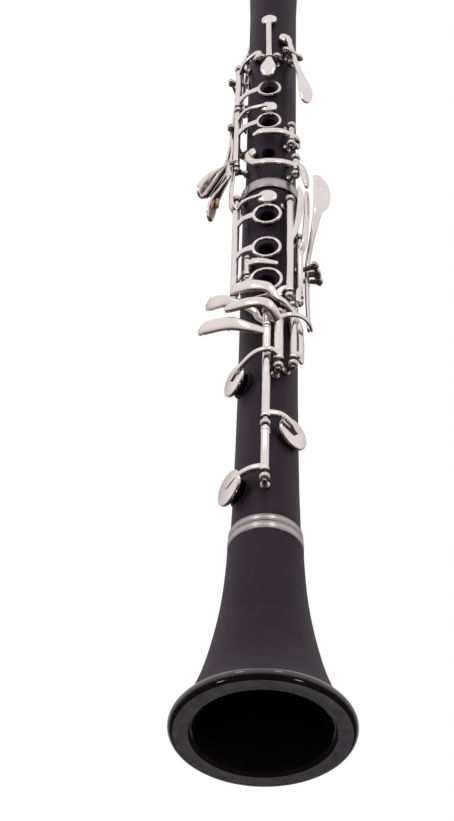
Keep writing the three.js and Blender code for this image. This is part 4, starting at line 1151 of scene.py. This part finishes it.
# ---- stage ----
def floor():
    """A pale floor, well below the bell because the picture is taken from under it."""
    size, height = 420, -760
    verts = [(x * size, y * size, height) for x, y in ((-1, -1), (1, -1), (1, 1), (-1, 1))]
    made = mesh_object("floor", verts, [(0, 1, 2, 3)])
    paper = Shader("floor_paper", Roughness=0.9)
    paper.ramp(paper.noise(3), [(0.3, (0.86, 0.86, 0.86)), (0.8, (0.9, 0.9, 0.9))], "Base Color")
    made.data.materials.append(paper.material)
    made.visible_glossy = False


floor()


# The studio's shade by height, from straight down to straight up: (place on the ramp, colour).
STUDIO = [
    (0.0, (0.04, 0.026, 0.021)), (0.38, (0.07, 0.048, 0.04)), (0.5, (0.42, 0.37, 0.355)),
    (0.6, (0.76, 0.72, 0.715)), (0.72, (0.98, 0.94, 0.94)), (1.0, (1.0, 0.97, 0.98)),
]
# How much of that is left, from in front of the clarinet to behind it.
STUDIO_DEPTH = [(0.0, (1, 1, 1)), (0.55, (1, 1, 1)), (0.74, (0.62, 0.6, 0.59)), (1.0, (0.62, 0.6, 0.59))]


def world():
    """White for the camera. Reflections see a studio: bright above and in front, darker low and behind."""
    made = bpy.data.worlds.new("studio")
    bpy.context.scene.world = made
    made.use_nodes = True
    nodes, links = made.node_tree.nodes, made.node_tree.links
    nodes.clear()
    place = add_node(nodes, "TexCoord")
    split = add_node(nodes, "SeparateXYZ")
    links.new(place.outputs["Generated"], split.inputs["Vector"])

    def shade(axis, table):
        half = add_node(nodes, "MapRange", From_Min=-1)
        links.new(split.outputs[axis], half.inputs["Value"])
        ramp = add_ramp(nodes, table)
        links.new(half.outputs["Result"], ramp.inputs["Fac"])
        return ramp.outputs["Color"]

    both = add_node(nodes, "MixRGB", Fac=1)
    both.blend_type = "MULTIPLY"
    links.new(shade("Z", STUDIO), both.inputs["Color1"])
    links.new(shade("Y", STUDIO_DEPTH), both.inputs["Color2"])
    studio = add_node(nodes, "Background", Strength=0.92)
    links.new(both.outputs["Color"], studio.inputs["Color"])
    white = add_node(nodes, "Background", Color=(1, 1, 1, 1))
    seen = add_node(nodes, "LightPath")
    mix = add_node(nodes, "MixShader")
    links.new(seen.outputs["Is Camera Ray"], mix.inputs["Fac"])
    links.new(studio.outputs["Background"], mix.inputs[1])
    links.new(white.outputs["Background"], mix.inputs[2])
    out = add_node(nodes, "OutputWorld")
    links.new(mix.outputs["Shader"], out.inputs["Surface"])


world()


def soft_light(name, place, target, size, power, glints):
    """A rectangular lamp. Without glints it lights surfaces but doesn't show in the plating."""
    lamp = bpy.data.lights.new(name, "AREA")
    lamp.shape = "RECTANGLE"
    lamp.size, lamp.size_y = size[0] * MM, size[1] * MM
    lamp.energy = power
    holder = add_object(name, lamp)
    holder.location = Vector(place) * MM
    holder.rotation_euler = (Vector(target) - Vector(place)).to_track_quat("-Z", "Y").to_euler()
    holder.visible_glossy = glints


soft_light("key_left", (-1100, -900, 500), (0, 0, 250), (500, 1100), 28, False)
soft_light("fill_right", (1200, -600, 100), (0, 0, 250), (400, 1100), 14, False)
soft_light("back_top", (200, 900, 1200), (0, 0, 350), (900, 500), 12, False)
for side in (-1, 1):
    soft_light(f"high_glint_{side + 2}", (side * 400, -900, 900), (0, 0, 250), (160, 160), 0.5, True)
    soft_light(f"low_glint_{side + 2}", (side * 600, -520, -640), (0, 0, 0), (120, 120), 0.3, True)


def camera():
    """Low in front of the bell, looking up into it."""
    lens = bpy.data.cameras.new("view")
    lens.lens = 92.66
    lens.sensor_width = 36
    lens.clip_end = 20
    holder = add_object("view", lens)
    pitch, yaw, roll = math.radians(44.020), math.radians(-7.136), math.radians(1.885)
    ahead = Vector((math.sin(yaw) * math.cos(pitch), math.cos(yaw) * math.cos(pitch), math.sin(pitch)))
    right = ahead.cross(UP).normalized()
    over = right.cross(ahead)
    level_right = right * math.cos(roll) + over * math.sin(roll)
    level_up = over * math.cos(roll) - right * math.sin(roll)
    turn = Matrix((level_right, level_up, -ahead)).transposed().to_4x4()
    holder.matrix_world = Matrix.Translation(Vector((70.796, -720.983, -513.085)) * MM) @ turn
    bpy.context.scene.camera = holder


camera()
bpy.context.scene.view_settings.view_transform = "Standard"
